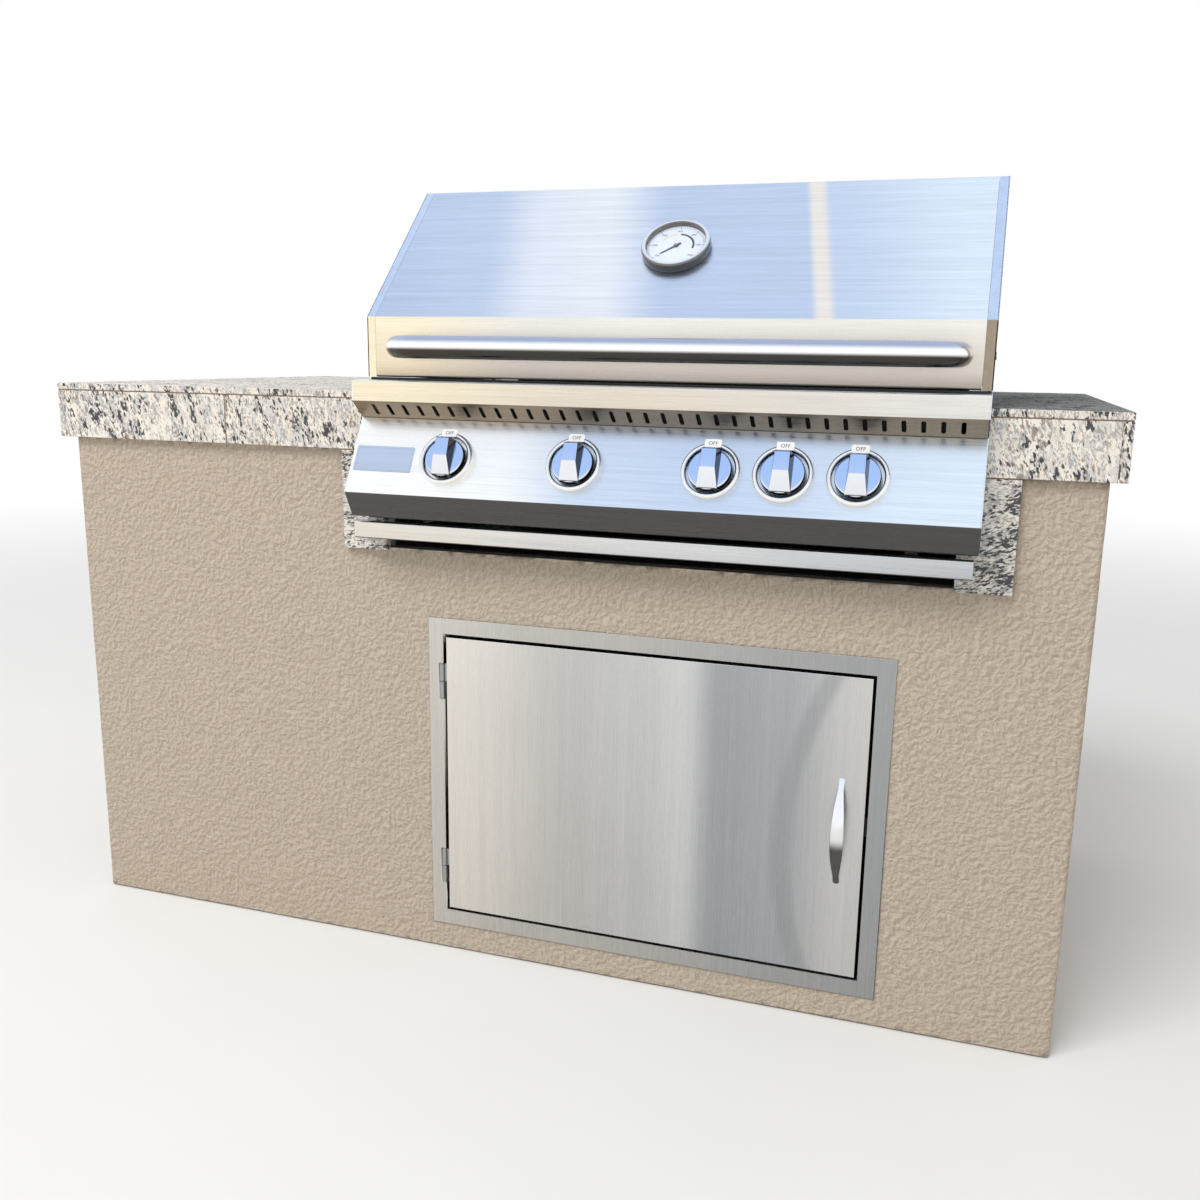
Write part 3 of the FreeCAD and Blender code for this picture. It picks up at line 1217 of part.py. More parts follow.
def thermometer_needle():
    """The needle on its pin, pointing to the cold end of the scale."""
    z = gauge_seat() + NEEDLE_GAP
    half = NEEDLE_WIDTH / 2
    blade = prism_z([(-half, -NEEDLE_TAIL), (half, -NEEDLE_TAIL), (half, 0),
                     (NEEDLE_TIP, NEEDLE_LENGTH), (-NEEDLE_TIP, NEEDLE_LENGTH), (-half, 0)],
                    z, z + NEEDLE_THICKNESS)
    top = V(0, 0, z + NEEDLE_HUB_HEIGHT)
    hub = many_sided(NEEDLE_HUB_RADIUS, V(0, 0, z), top)
    bore = many_sided(around(NEEDLE_PIN_RADIUS + NEEDLE_RUNNING), V(0, 0, z), top)
    needle = fused([blade, hub]).cut(bore)
    needle.rotate(V(0, 0, 0), V(0, 0, 1), NEEDLE_ANGLE)
    return on_slope(needle, GAUGE_UP_SLOPE)


def thermometer_glass():
    """The glass, below the rim and above the needle's pin."""
    z = GAUGE_HEIGHT - GAUGE_GLASS_DEPTH
    pane = many_sided(GAUGE_RADIUS - GAUGE_RIM, V(0, 0, z), V(0, 0, z + GAUGE_GLASS), TURNED_FLATS)
    return on_slope(pane, GAUGE_UP_SLOPE)


def parts():
    """Every node's name and shape, in the drawing frame."""
    named = {
        "base_tracks": base_tracks(), "wall_studs": wall_studs(), "top_frame": top_frame(),
        "wall_boards": wall_boards(), "deck_boards": deck_boards(),
        "fascia_packing": fascia_packing(), "stucco_coat": stucco_coat(),
        "wall_vents": wall_vents(), "top_tiles": top_tiles(), "fascia_tiles": fascia_tiles(),
        "side_strips": side_strips(), "door_frame": door_frame(),
        "frame_hinges": frame_hinges(), "door_catch": door_catch(), "door_skin": door_skin(),
        "door_liner": door_liner(), "door_hinges": door_hinges(), "door_pull": door_pull(),
        "firebox_sides": firebox_sides(), "firebox_front": firebox_front(),
        "firebox_back": firebox_back(), "grate_ledges": grate_ledges(),
        "main_burners": main_burners(), "flame_tamers": flame_tamers(),
        "cooking_grates": cooking_grates(), "warming_rack": warming_rack(),
        "rear_burner": rear_burner(), "front_ledge": front_ledge(),
        "control_panel": control_panel(), "panel_ends": panel_ends(),
        "nameplate": nameplate(), "gas_manifold": gas_manifold(), "gas_valves": gas_valves(),
        "knob_bezels": knob_bezels(), "drip_tray": drip_tray(), "tray_rails": tray_rails(),
        "hood_shell": hood_shell(), "hood_ends": hood_ends(), "hood_liner": hood_liner(),
        "hood_handle": hood_handle(), "hood_hinges": hood_hinges(),
        "thermometer_case": thermometer_case(), "thermometer_dial": thermometer_dial(),
        "thermometer_needle": thermometer_needle(), "thermometer_glass": thermometer_glass(),
    }
    for i, x in enumerate(KNOB_XS, 1):
        named[f"knob_{i}"] = on_panel(knob(), x, KNOB_DOWN_PANEL)
        named[f"stem_{i}"] = on_panel(stem(), x, KNOB_DOWN_PANEL)
        named[f"thrust_washer_{i}"] = on_panel(thrust_washer(), x, KNOB_DOWN_PANEL)
    return named


def write_parts(folder):
    """Centre the island on the origin and write one STEP file per node."""
    os.makedirs(folder, exist_ok=True)
    named = parts()
    boxes = [shape.optimalBoundingBox(False) for shape in named.values()]
    middle = (min(b.YMin for b in boxes) + max(b.YMax for b in boxes)) / 2
    print("front wall face at y =", round(-middle, 3))
    for name, shape in named.items():
        shape.translate(V(0, -middle, 0))
        shape.exportStep(f"{folder}/{name}.step")


write_parts("parts")
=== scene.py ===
from contextlib import contextmanager
from functools import partial
import math

import bmesh
import bpy
from bpy.props import (
    BoolProperty, FloatProperty, FloatVectorProperty, IntProperty, PointerProperty)
from bpy.types import Operator, PropertyGroup
from mathutils import Matrix, Vector
from mathutils.noise import noise, noise_vector, seed_set


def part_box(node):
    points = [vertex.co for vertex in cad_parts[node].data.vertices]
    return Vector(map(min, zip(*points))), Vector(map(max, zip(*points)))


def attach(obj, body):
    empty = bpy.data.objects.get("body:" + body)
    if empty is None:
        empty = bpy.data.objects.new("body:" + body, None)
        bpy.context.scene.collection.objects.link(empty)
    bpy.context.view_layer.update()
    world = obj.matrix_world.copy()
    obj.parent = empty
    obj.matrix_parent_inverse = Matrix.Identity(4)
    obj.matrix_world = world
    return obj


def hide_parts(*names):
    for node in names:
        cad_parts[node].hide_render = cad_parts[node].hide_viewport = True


bl_info = {
    "name": "Outdoor Kitchen Island",
    "version": (1, 0, 0),
    "blender": (4, 5, 0),
    "location": "View3D > Sidebar > Island",
    "description": "Builds a tiled, stuccoed island with its gas grill and access door",
    "category": "Object",
}

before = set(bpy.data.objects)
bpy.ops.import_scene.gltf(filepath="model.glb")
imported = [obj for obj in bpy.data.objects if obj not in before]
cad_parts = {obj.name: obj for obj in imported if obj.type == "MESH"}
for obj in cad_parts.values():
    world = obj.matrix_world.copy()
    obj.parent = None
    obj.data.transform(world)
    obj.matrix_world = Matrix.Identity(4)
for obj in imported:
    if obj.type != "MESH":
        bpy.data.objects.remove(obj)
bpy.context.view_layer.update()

MM = 0.001
GRILL_X = sum(corner.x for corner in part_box("hood_shell")) / 2
WALL_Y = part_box("stucco_coat")[0].y
GRILL = Vector((GRILL_X, WALL_Y, 0))
ISLAND = Vector((0, WALL_Y, 0))


def linear(*channels):
    """The linear values of a colour that is given in sRGB bytes."""
    parts = [byte / 255 for byte in channels]
    return tuple(p / 12.92 if p <= 0.04045 else ((p + 0.055) / 1.055) ** 2.4 for p in parts)


def length(name, description, millimetres):
    """A size, kept in metres and given here in millimetres."""
    return FloatProperty(name=name, description=description, default=millimetres * MM,
                         min=0, unit="LENGTH", precision=4)


def colour(name, description, *channels):
    """A colour, given here in sRGB bytes."""
    return FloatVectorProperty(name=name, description=description, size=3, min=0, max=1,
                               subtype="COLOR", default=linear(*channels))


def share(name, description, default):
    """A number from 0 to 1."""
    return FloatProperty(name=name, description=description, default=default,
                         min=0, max=1, subtype="FACTOR")


def count(name, description, default):
    """How many of a thing there are."""
    return IntProperty(name=name, description=description, default=default, min=1)


def angle(name, description, degrees):
    """A turn, given here in degrees."""
    return FloatProperty(name=name, description=description, subtype="ANGLE",
                         default=math.radians(degrees))


def millimetres(group, *names):
    """Sizes of a settings group, in millimetres."""
    return [getattr(group, name) / MM for name in names]


def extent(node, origin=GRILL):
    """The low and high corner of a CAD node, in millimetres from an origin."""
    return [(corner - origin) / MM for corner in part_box(node)]


class StageSettings(PropertyGroup):
    """The camera, the floor and the light."""

    camera_place: FloatVectorProperty(
        name="Camera", description="Where the camera stands", size=3,
        default=(0.6384, -1.9184, 0.9518), subtype="TRANSLATION", unit="LENGTH")
    camera_yaw: angle("Yaw", "How far the camera turns to the left", 18.092)
    camera_pitch: angle("Pitch", "How far the camera looks up", -12.058)
    camera_roll: angle("Roll", "How far the camera leans over", -0.873)
    lens: FloatProperty(name="Lens", description="Focal length of the camera",
                        default=34.671, unit="CAMERA")
    floor_radius: FloatProperty(name="Floor radius", description="Size of the round floor",
                                default=14.0, unit="LENGTH")
    floor_colour: colour("Floor", "Colour of the floor", 241, 241, 240)
    sky_low: colour("Horizon", "Background near the horizon", 255, 255, 255)
    sky_high: colour("Overhead", "Background straight above", 246, 250, 255)
    fill: share("Fill", "Light from all round on matt surfaces", 0.6)
    shine: FloatProperty(name="Shine", default=1.16, min=0,
                         description="Strength of the surroundings in metal and glass")
    key_power: FloatProperty(name="Key", description="Power of the large soft lamp",
                             default=330.0, unit="POWER")


class WallSettings(PropertyGroup):
    """The stucco, the boards behind it and the steel frame."""

    stucco: colour("Stucco", "Main colour of the stucco", 187, 173, 156)
    # The next two colours are painted light: painted highlight on the grains' lit sides, painted
    # shade on their other sides and in the small pits
    stucco_painted_highlight: colour("Sand", "Colour of its lit grains", 208, 195, 178)
    stucco_painted_shade: colour("Pits", "Colour of its small pits", 150, 134, 115)
    relief: length("Relief", "Height of the sand finish", 2.4)
    board: colour("Board", "Colour of the cement boards", 158, 158, 152)
    galvanised: colour("Galvanised steel", "Colour of the studs and tracks", 176, 182, 187)
    packing: colour("Packing", "Colour of the wood behind the fascia", 178, 148, 108)
    unevenness: length("Unevenness", "How far the trowelled face wanders", 0.45)
    net: length("Net", "Longest edge of the stucco's mesh", 14)
    louvres: count("Louvres", "Blades in each air vent", 5)
    vent_rim: length("Vent rim", "Flat border of an air vent", 14)


class StoneSettings(PropertyGroup):
    """The granite tiles and the joints between them."""

    ground: colour("Ground", "Palest crystals", 236, 228, 215)
    cloud: colour("Cloud", "Grey crystals", 196, 195, 193)
    sand: colour("Sand", "Tan crystals", 227, 216, 199)
    smoke: colour("Smoke", "Fine dark grey crystals", 122, 123, 126)
    dark: colour("Dark", "Black crystals", 40, 41, 46)
    rust: colour("Rust", "Brown stains", 124, 100, 78)
    grout: colour("Grout", "Colour of the joints", 148, 126, 104)
    edge: length("Eased edge", "Rounding of the tile edges", 1.3)
    tile: length("Tile", "Length of a whole tile", 308)
    joint: length("Joint", "Width of a joint", 1.5)
    joint_depth: length("Joint depth", "How far the joints lie back", 0.9)


class SteelSettings(PropertyGroup):
    """Finishes that the grill's steel pieces share."""

    sheet: length("Sheet", "Thickness of the grill's sheets", 1.2)
    bend: length("Bend", "Outer radius of a folded edge", 2.2)
    # Painted sky reflection on brushed sheet that faces up
    cool: colour("Sky tone", "Brushed sheet that faces up", 205, 219, 240)
    plain: colour("Plain tone", "Brushed sheet with no tint", 200, 200, 198)
    # Painted shade on sheet that faces down
    shade: colour("Shade tone", "Sheet that faces down", 88, 87, 85)
    # Also given to the tray rails, as painted shade
    dark: colour("Dark steel", "Oiled and heated sheet", 92, 88, 84)
    zinc: colour("Zinc", "Plated pins and pipes", 178, 180, 178)
    roughness: share("Roughness", "Softness of the brushed finish", 0.27)


class DoorSettings(PropertyGroup):
    """The access door and its frame."""

    pull_length: length("Pull length", "Length of the bow pull", 159)
    pull_rise: length("Pull rise", "How far the pull stands out", 30)
    pull_middle: length("Pull middle", "Width of the pull at its middle", 19.5)
    pull_neck: length("Pull neck", "Width of the pull where it is narrowest", 9)
    pull_end: length("Pull end", "Width of the pull at its ends", 11)
    pull_foot: length("Pull foot", "Height of the pull's feet", 12)
    pull_crown: length("Pull crown", "Thickness of the pull at its middle", 9)
    pull_inset: length("Pull inset", "From the door's edge to the pull", 34)


class ControlSettings(PropertyGroup):
    """The ledge, the knob panel and what is on it."""

    slots: count("Slots", "Vent slots under the ledge", 35)
    slot_pitch: length("Slot pitch", "From slot to slot", 24.3)
    slot_width: length("Slot width", "Width of a slot", 6)
    slot_length: length("Slot length", "Length of a slot", 24.5)
    knob_spacing: length("Knob spacing", "From burner knob to burner knob", 192.8)
    knob_down: length("Knob place", "From the panel's top edge to the knobs", 65.2)
    knob_radius: length("Knob radius", "Radius of a knob's skirt", 30)
    tab_width: length("Tab width", "Width of the white marker tab", 23)
    tab_height: length("Tab height", "Height of the white marker tab", 11.5)
    enamel: colour("Enamel", "White of the marker tabs", 246, 246, 244)
    ink: colour("Ink", "Colour of the printed marks", 52, 54, 58)


class HoodSettings(PropertyGroup):
    """The hood, its handle and its thermometer."""

    band: length("Band", "Width of the end caps' flange", 13.3)
    bend: length("Bend", "Outer radius of the hood's folds", 4)
    handle_radius: length("Handle radius", "Radius of the handle's bar", 16)
    gauge_radius: length("Gauge radius", "Radius of the thermometer", 50)
    gauge_up: length("Gauge place", "From the crease up to the thermometer", 141)
    numbers: BoolProperty(name="Numbers", description="Print temperatures on the dial",
                          default=True)
    coldest: IntProperty(name="Lowest number", description="First number on the dial",
                         default=100)
    step: IntProperty(name="Step", description="From number to number", default=100)
    numbered: count("Numbered marks", "How many numbers the dial has", 7)


class GrillSettings(PropertyGroup):
    """What the firebox holds."""

    rod_radius: length("Rod radius", "Radius of a grate rod", 4)
    grates: count("Grates", "Cooking grates side by side", 4)
    rods: count("Rods", "Rods in one grate", 8)
    rack_rods: count("Rack rods", "Rods in the warming rack", 7)
    burner_radius: length("Burner radius", "Radius of a tube burner", 15)
    ports: count("Ports", "Flame ports on each side of a burner", 38)
    port_radius: length("Port radius", "Radius of a flame port", 1.2)


SETTINGS = {
    "island_stage": StageSettings,
    "island_walls": WallSettings,
    "island_stone": StoneSettings,
    "island_steel": SteelSettings,
    "island_door": DoorSettings,
    "island_controls": ControlSettings,
    "island_hood": HoodSettings,
    "island_grill": GrillSettings,
}


# Shapes, in millimetres from the grill's centre line, the wall's face and the floor

class Shape:
    """Points and faces gathered into one piece, each face with its finish's number."""

    def __init__(self):
        self.points, self.faces, self.finishes = [], [], []

    def take(self, part, finish=0, place=None):
        """Adds the points and faces of a part, moved by a matrix if one is given."""
        points, faces = part
        start = len(self.points)
        self.points += [place @ Vector(p) if place else Vector(p) for p in points]
        self.faces += [[start + i for i in face] for face in faces]
        self.finishes += [finish] * len(faces)
        return self


def box(x0, x1, y0, y1, z0, z1):
    """A block between two corners."""
    points = [(x, y, z) for x in (x0, x1) for y in (y0, y1) for z in (z0, z1)]
    faces = [(0, 1, 3, 2), (4, 6, 7, 5), (0, 4, 5, 1), (2, 3, 7, 6), (0, 2, 6, 4), (1, 5, 7, 3)]
    return points, faces


def along(axis, u, v, w):
    """The point with u, v in the plane across an axis and w along it."""
    return {"x": (w, u, v), "y": (u, w, v), "z": (u, v, w)}[axis]


def extruded(outline, start, end, axis="x"):
    """A closed outline pushed along an axis."""
    n = len(outline)
    points = [along(axis, u, v, w) for w in (start, end) for u, v in outline]
    faces = [(i, (i + 1) % n, n + (i + 1) % n, n + i) for i in range(n)]
    return points, faces + [tuple(range(n)), tuple(range(2 * n - 1, n - 1, -1))]


def rounded(path, radius, steps=4, closed=False):
    """A path of 2-D points with its corners rounded."""
    result = []
    n = len(path)
    for i, corner in enumerate(path):
        if not closed and i in (0, n - 1):
            result.append(tuple(corner))
            continue
        here = Vector(corner)
        back, ahead = Vector(path[i - 1]) - here, Vector(path[(i + 1) % n]) - here
        half = back.angle(ahead) / 2
        reach = min(radius / math.tan(half), back.length * 0.49, ahead.length * 0.49)
        start, end = here + back.normalized() * reach, here + ahead.normalized() * reach
        size = reach * math.tan(half)
        inwards = (back.normalized() + ahead.normalized()).normalized()
        middle = here + inwards * size / math.sin(half)
        swing = math.pi - 2 * half
        turn = 1 if (start - middle).cross(end - middle) > 0 else -1
        result += [tuple(middle + Matrix.Rotation(turn * swing * k / steps, 2) @ (start - middle))
                   for k in range(steps + 1)]
    return result


def sheet(path, thickness, start, end, axis="x"):
    """A folded sheet whose visible face is the path, pushed along an axis."""
    runs_of = [(Vector(b) - Vector(a)).normalized() for a, b in zip(path, path[1:])]
    normals = [Vector((-run.y, run.x)) for run in runs_of]
    inner = []
    for point, before, after in zip(path, normals[:1] + normals, normals + normals[-1:]):
        inner.append(Vector(point) + (before + after) * thickness / (1 + before.dot(after)))
    n = len(path)
    points = [along(axis, u, v, w) for w in (start, end) for u, v in [*path, *inner]]
    faces = [(0, n, 3 * n, 2 * n), (n - 1, 3 * n - 1, 4 * n - 1, 2 * n - 1)]
    for i in range(n - 1):
        a, b, c, d = [(k * n + i, k * n + i + 1) for k in range(4)]
        faces += [(*a, c[1], c[0]), (b[0], *d, b[1]), (a[0], *b, a[1]), (*c, d[1], d[0])]
    return points, faces


def lathe(outline, sides=64):
    """A closed outline of (radius, height) points, turned about Z."""
    points, rings = [], []
    for radius, height in outline:
        turns = [2 * math.pi * k / sides for k in range(sides if radius else 1)]
        rings.append(range(len(points), len(points) + len(turns)))
        points += [(radius * math.cos(t), radius * math.sin(t), height) for t in turns]
    faces = []
    for a, b in zip(rings, rings[1:] + rings[:1]):
        for k in range(sides):
            corners = [a[k % len(a)], a[(k + 1) % len(a)], b[(k + 1) % len(b)], b[k % len(b)]]
            corners = list(dict.fromkeys(corners))
            if len(corners) > 2:
                faces.append(corners)
    return points, faces


def skin(rings):
    """The surface through rings of points, with a flat face at each end."""
    n = len(rings[0])
    points = [p for ring in rings for p in ring]
    faces = [tuple(range(n)), tuple(range(len(points) - 1, len(points) - n - 1, -1))]
    for start in range(0, len(points) - n, n):
        for i in range(n):
            j = (i + 1) % n
            faces.append((start + i, start + j, start + n + j, start + n + i))
    return points, faces


def tube(path, radius, sides=24):
    """A round bar that follows a path of points, its ends closed."""
    path = [Vector(p) for p in path]
    turns = [2 * math.pi * k / sides for k in range(sides)]
    side = (path[1] - path[0]).normalized().orthogonal().normalized()
    rings = []
    for point, before, after in zip(path, path[:1] + path, path[1:] + path[-1:]):
        ahead = (after - before).normalized()
        side = (side - ahead * side.dot(ahead)).normalized()
        up = ahead.cross(side)
        rings.append([point + (side * math.cos(t) + up * math.sin(t)) * radius for t in turns])
    return skin(rings)


def arc(start, crest, end, steps):
    """Points on the circle through three 2-D points."""
    a, b, c = Vector(start), Vector(crest), Vector(end)
    d = 2 * (a.x * (b.y - c.y) + b.x * (c.y - a.y) + c.x * (a.y - b.y))
    p, q, r = [v.length_squared for v in (a, b, c)]
    middle = Vector(((p * (b.y - c.y) + q * (c.y - a.y) + r * (a.y - b.y)) / d,
                     (p * (c.x - b.x) + q * (a.x - c.x) + r * (b.x - a.x)) / d))
    swing = (c - middle).angle_signed(a - middle)
    return [middle + Matrix.Rotation(swing * k / steps, 2) @ (a - middle)
            for k in range(steps + 1)]


def runs(start, end, size, gap):
    """The runs that tiles of one size cover between two ends, with a gap between them."""
    result = []
    while end - start > 1e-6:
        stop = min(start + size, end)
        if end - stop <= gap:
            stop = end
        result.append((start, stop))
        start = stop + gap
    return result


# The grill's lines in side view, as (y, z) in millimetres
PANEL_TOP = (-23.0, 854.1)
PANEL_FOOT = (-82.1, 748.9)
PANEL_UP = (Vector(PANEL_TOP) - Vector(PANEL_FOOT)).normalized()
UNDERSIDE = (-60.6, 710.7)
HOOD_CREASE = (-1.1, 999.9)
HOOD_RIDGE = (203.2, 1199.0)
HOOD_UP = (Vector(HOOD_RIDGE) - Vector(HOOD_CREASE)).normalized()
HOOD_LINE = [(-1.1, 912.4), HOOD_CREASE, HOOD_RIDGE, (380.0, 1199.0), (512.0, 1090.0)]
HOOD_PIVOT = (465.0, 957.0)
GRILL_HALF = (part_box("hood_ends")[1].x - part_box("hood_ends")[0].x) / 2 / MM
KNOB_PLACES = (-1.5, -0.5, 0.5, 1.0, 1.5)


def on_face(x, y, z, up):
    """From a leaning face's own axes: x to the right, y up the face, z out of it."""
    return Matrix(((1, 0, 0, x), (0, up[0], -up[1], y), (0, up[1], up[0], z), (0, 0, 0, 1)))


def on_panel(x, down):
    """From axes on the knob panel, below its top edge."""
    sine, cosine = PANEL_UP
    return on_face(x, PANEL_TOP[0] - down * sine, PANEL_TOP[1] - down * cosine, PANEL_UP)


def on_slope(up):
    """From axes on the middle of the hood's slope, above its crease."""
    return on_face(0, *(Vector(HOOD_CREASE) + HOOD_UP * up), HOOD_UP)


@contextmanager
def edited(mesh):
    """Opens a mesh for editing and writes it back."""
    work = bmesh.new()
    work.from_mesh(mesh)
    yield work
    work.to_mesh(mesh)
    work.free()


def smooth(obj, sharp=38):
    """Smooth shading, broken at edges sharper than an angle in degrees."""
    obj.data.polygons.foreach_set("use_smooth", [True] * len(obj.data.polygons))
    obj.data.set_sharp_from_angle(angle=math.radians(sharp))
    return obj


def applied(obj):
    """Turns an object's modifiers into its plain mesh."""
    bpy.context.view_layer.update()
    depsgraph = bpy.context.evaluated_depsgraph_get()
    mesh = bpy.data.meshes.new_from_object(obj.evaluated_get(depsgraph), depsgraph=depsgraph,
                                           preserve_all_data_layers=True)
    obj.modifiers.clear()
    old, obj.data = obj.data, mesh
    bpy.data.meshes.remove(old)
    return obj


def eased(obj, width, segments=2, front_only=False):
    """Rounds an object's sharp edges by a width in millimetres."""
    bevel = obj.modifiers.new("edges", "BEVEL")
    bevel.width = width * MM
    bevel.segments = segments
    bevel.limit_method = "WEIGHT" if front_only else "ANGLE"
    if front_only:
        with edited(obj.data) as work:
            front = min(v.co.y for v in work.verts) + 0.05 * MM
            weight = work.edges.layers.float.new("bevel_weight_edge")
            for edge in work.edges:
                at_front = all(v.co.y < front for v in edge.verts)
                edge[weight] = float(at_front and edge.calc_face_angle(0) > bevel.angle_limit)
    bevel.angle_limit = math.radians(32)
    bevel.harden_normals = True
    return applied(obj)


def linked(name, mesh, names):
    """A new object in the scene, with its finishes named in one line."""
    obj = bpy.data.objects.new(name, mesh)
    bpy.context.scene.collection.objects.link(obj)
    mesh.materials.clear()
    for finish in names.split():
        mesh.materials.append(finish_named(finish))
    return obj


def made(name, shape, names, origin=GRILL, ease=0, sharp=38):
    """A piece from a shape or its one part: placed, facing outwards, its edges eased when an ease
    is given.
    """
    shape = Shape().take(shape) if isinstance(shape, tuple) else shape
    mesh = bpy.data.meshes.new(name)
    mesh.from_pydata([origin + p * MM for p in shape.points], [], shape.faces)
    obj = linked(name, mesh, names)
    mesh.polygons.foreach_set("material_index", shape.finishes)
    with edited(mesh) as work:
        bmesh.ops.recalc_face_normals(work, faces=work.faces)
    smooth(obj, sharp)
    return eased(obj, ease) if ease else obj


def copied(name, node, names, ease=0, sharp=38):
    """A piece from a merged copy of a CAD node's mesh."""
    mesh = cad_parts[node].data.copy()
    mesh.name = name
    with edited(mesh) as work:
        bmesh.ops.remove_doubles(work, verts=work.verts, dist=2e-6)
        bmesh.ops.dissolve_limit(work, angle_limit=math.radians(0.5), verts=work.verts,
                                 edges=work.edges)
    obj = linked(name, mesh, names)
    mesh.polygons.foreach_set("material_index", [0] * len(mesh.polygons))
    mesh.update()
    smooth(obj, sharp)
    return eased(obj, ease) if ease else obj


def cut_by(obj, cutter):
    """Cuts a shape's solids, or an object's, out of an object."""
    if isinstance(cutter, Shape):
        cutter = made("cutter", cutter, "", sharp=60)
    cutting = obj.modifiers.new("holes", "BOOLEAN")
    cutting.operation = "DIFFERENCE"
    cutting.solver = "EXACT"
    cutting.object = cutter
    applied(obj)
    bpy.data.objects.remove(cutter)
    return smooth(obj)


def joined(name, first, *others):
    """Several objects made into one piece."""
    objects = [first, *others]
    with bpy.context.temp_override(active_object=first, object=first, selected_objects=objects,
                                   selected_editable_objects=objects):
        bpy.ops.object.join()
    first.name = first.data.name = name
    return first


def settled(obj, body, slot, *nodes):
    """Attaches a finished piece to its body and hides the nodes it replaces; the slot is not used.
    """
    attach(obj, body)
    if nodes:
        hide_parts(*nodes)


def piece(name, shape, names, body, slot, *nodes, **how):
    """A finished piece from a shape."""
    settled(made(name, shape, names, **how), body, slot, *nodes)


def dress(finish, *nodes):
    """Gives CAD nodes whose shape stays a finish of their own."""
    for node in nodes:
        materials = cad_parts[node].data.materials
        materials.clear()
        materials.append(finish_named(finish))


# Node trees

class Outputs:
    """A node's outputs, by number or name."""

    def __init__(self, node):
        self.node = node

    def __getitem__(self, key):
        return Value(self.node.outputs[key])


class Value:
    """A node's output, with the sums, masks, colours and noises that are made of it."""

    def __init__(self, socket):
        self.socket = socket

    def then(self, kind, values=(), **settings):
        """The first output of a new node whose first input is this value."""
        return add(self.socket.id_data, kind, {0: self, **dict(values)}, **settings)[0]

    def calc(self, operation, *others):
        """A sum of this value and others."""
        return self.then("ShaderNodeMath", enumerate(others, 1), operation=operation)

    def __add__(self, other):
        return self.calc("ADD", other)

    def __sub__(self, other):
        return self.calc("SUBTRACT", other)

    def __radd__(self, other):
        return self.then("ShaderNodeMath", {0: other, 1: self}, operation="ADD")

    def __rsub__(self, other):
        return self.then("ShaderNodeMath", {0: other, 1: self}, operation="SUBTRACT")

    def __mul__(self, other):
        return self.calc("MULTIPLY", other)

    def __truediv__(self, other):
        return self.calc("DIVIDE", other)

    def __rtruediv__(self, other):
        return self.then("ShaderNodeMath", {0: other, 1: self}, operation="DIVIDE")

    def portion(self, low, high, to_low=0.0, to_high=1.0, how="LINEAR"):
        """This value carried from one range to another."""
        return self.then("ShaderNodeMapRange", {1: low, 2: high, 3: to_low, 4: to_high},
                         interpolation_type=how)

    def between(self, *ends):
        """This value carried from one range to another, eased at both ends."""
        return self.portion(*ends, how="SMOOTHSTEP")

    def parts(self):
        """The x, y and z of a vector."""
        return add(self.socket.id_data, "ShaderNodeSeparateXYZ", {0: self})

    def vector(self, operation, *others, **named):
        """A vector sum of this value and others."""
        return self.then("ShaderNodeVectorMath", {**dict(enumerate(others, 1)), **named},
                         operation=operation)

    def stretched(self, x, y, z):
        """Coordinates with each axis scaled."""
        return self.then("ShaderNodeMapping", {"Scale": (x, y, z)})

    def noise(self, scale, detail=2.0, rough=0.5, distortion=0.0):
        """Soft noise from 0 to 1."""
        return self.then("ShaderNodeTexNoise", {"Scale": scale, "Detail": detail,
                         "Roughness": rough, "Distortion": distortion})

    def cells(self, scale):
        """A random number for every cell of a pattern."""
        tones = add(self.socket.id_data, "ShaderNodeTexVoronoi", {0: self, "Scale": scale})
        return tones["Color"].then("ShaderNodeSeparateColor")

    def ramp(self, *stops):
        """A colour that changes along this value, through (place, sRGB bytes) stops."""
        made_ramp = add(self.socket.id_data, "ShaderNodeValToRGB", {0: self})
        points = made_ramp.node.color_ramp.elements
        made_ramp.node.color_ramp.interpolation = "EASE"
        while len(points) < len(stops):
            points.new(0.5)
        for point, (place, tone) in zip(points, stops):
            point.position = place
            point.color = rgba(linear(*tone))
        return made_ramp[0]

    def blend(self, how, factor, a, b):
        """Two colours mixed in one of Blender's ways."""
        return add(self.socket.id_data, "ShaderNodeMix", {0: factor, 6: rgba(a), 7: rgba(b)},
                   data_type="RGBA", blend_type=how, clamp_factor=True)[2]

    def mixed(self, a, b):
        """Two colours mixed by this mask."""
        return self.blend("MIX", self, a, b)

    def times(self, other):
        """This colour multiplied by another or by a number."""
        return self.blend("MULTIPLY", 1.0, self, other)


def add(tree, kind, values=(), **settings):
    """A new node's outputs; its inputs are numbers, colours or other values."""
    node = tree.nodes.new(kind)
    for name, value in settings.items():
        setattr(node, name, value)
    for name, value in dict(values).items():
        for one in value if isinstance(value, list) else [value]:
            if isinstance(one, Value):
                tree.links.new(one.socket, node.inputs[name])
            else:
                node.inputs[name].default_value = one
    return Outputs(node)


def rgba(tone):
    """A colour with its fourth channel."""
    return tone if isinstance(tone, Value) else (*tone, 1.0)


def brushed_group(_, given):
    """Fine lines of a brushed sheet, with faint smears across them."""
    place, fineness = given["Vector"], given["Fineness"]
    lines = place.noise(fineness, 3.0, 0.65) * 0.65 + place.noise(fineness * 0.22, 1.0) * 0.35
    return {"Lines": lines, "Smear": place.noise(given["Smears"], 2.0, 0.45, 0.4)}


def facing_group(tree, given):
    """Masks of the faces that look up, down and forward, through which the steel finishes paint
    reflection and shade.
    """
    _, y, z = add(tree, "ShaderNodeNewGeometry")["Normal"].parts()
    return {name: way.between(given["Low"], given["High"])
            for name, way in (("Up", z), ("Down", z * -1.0), ("Forward", y * -1.0))}


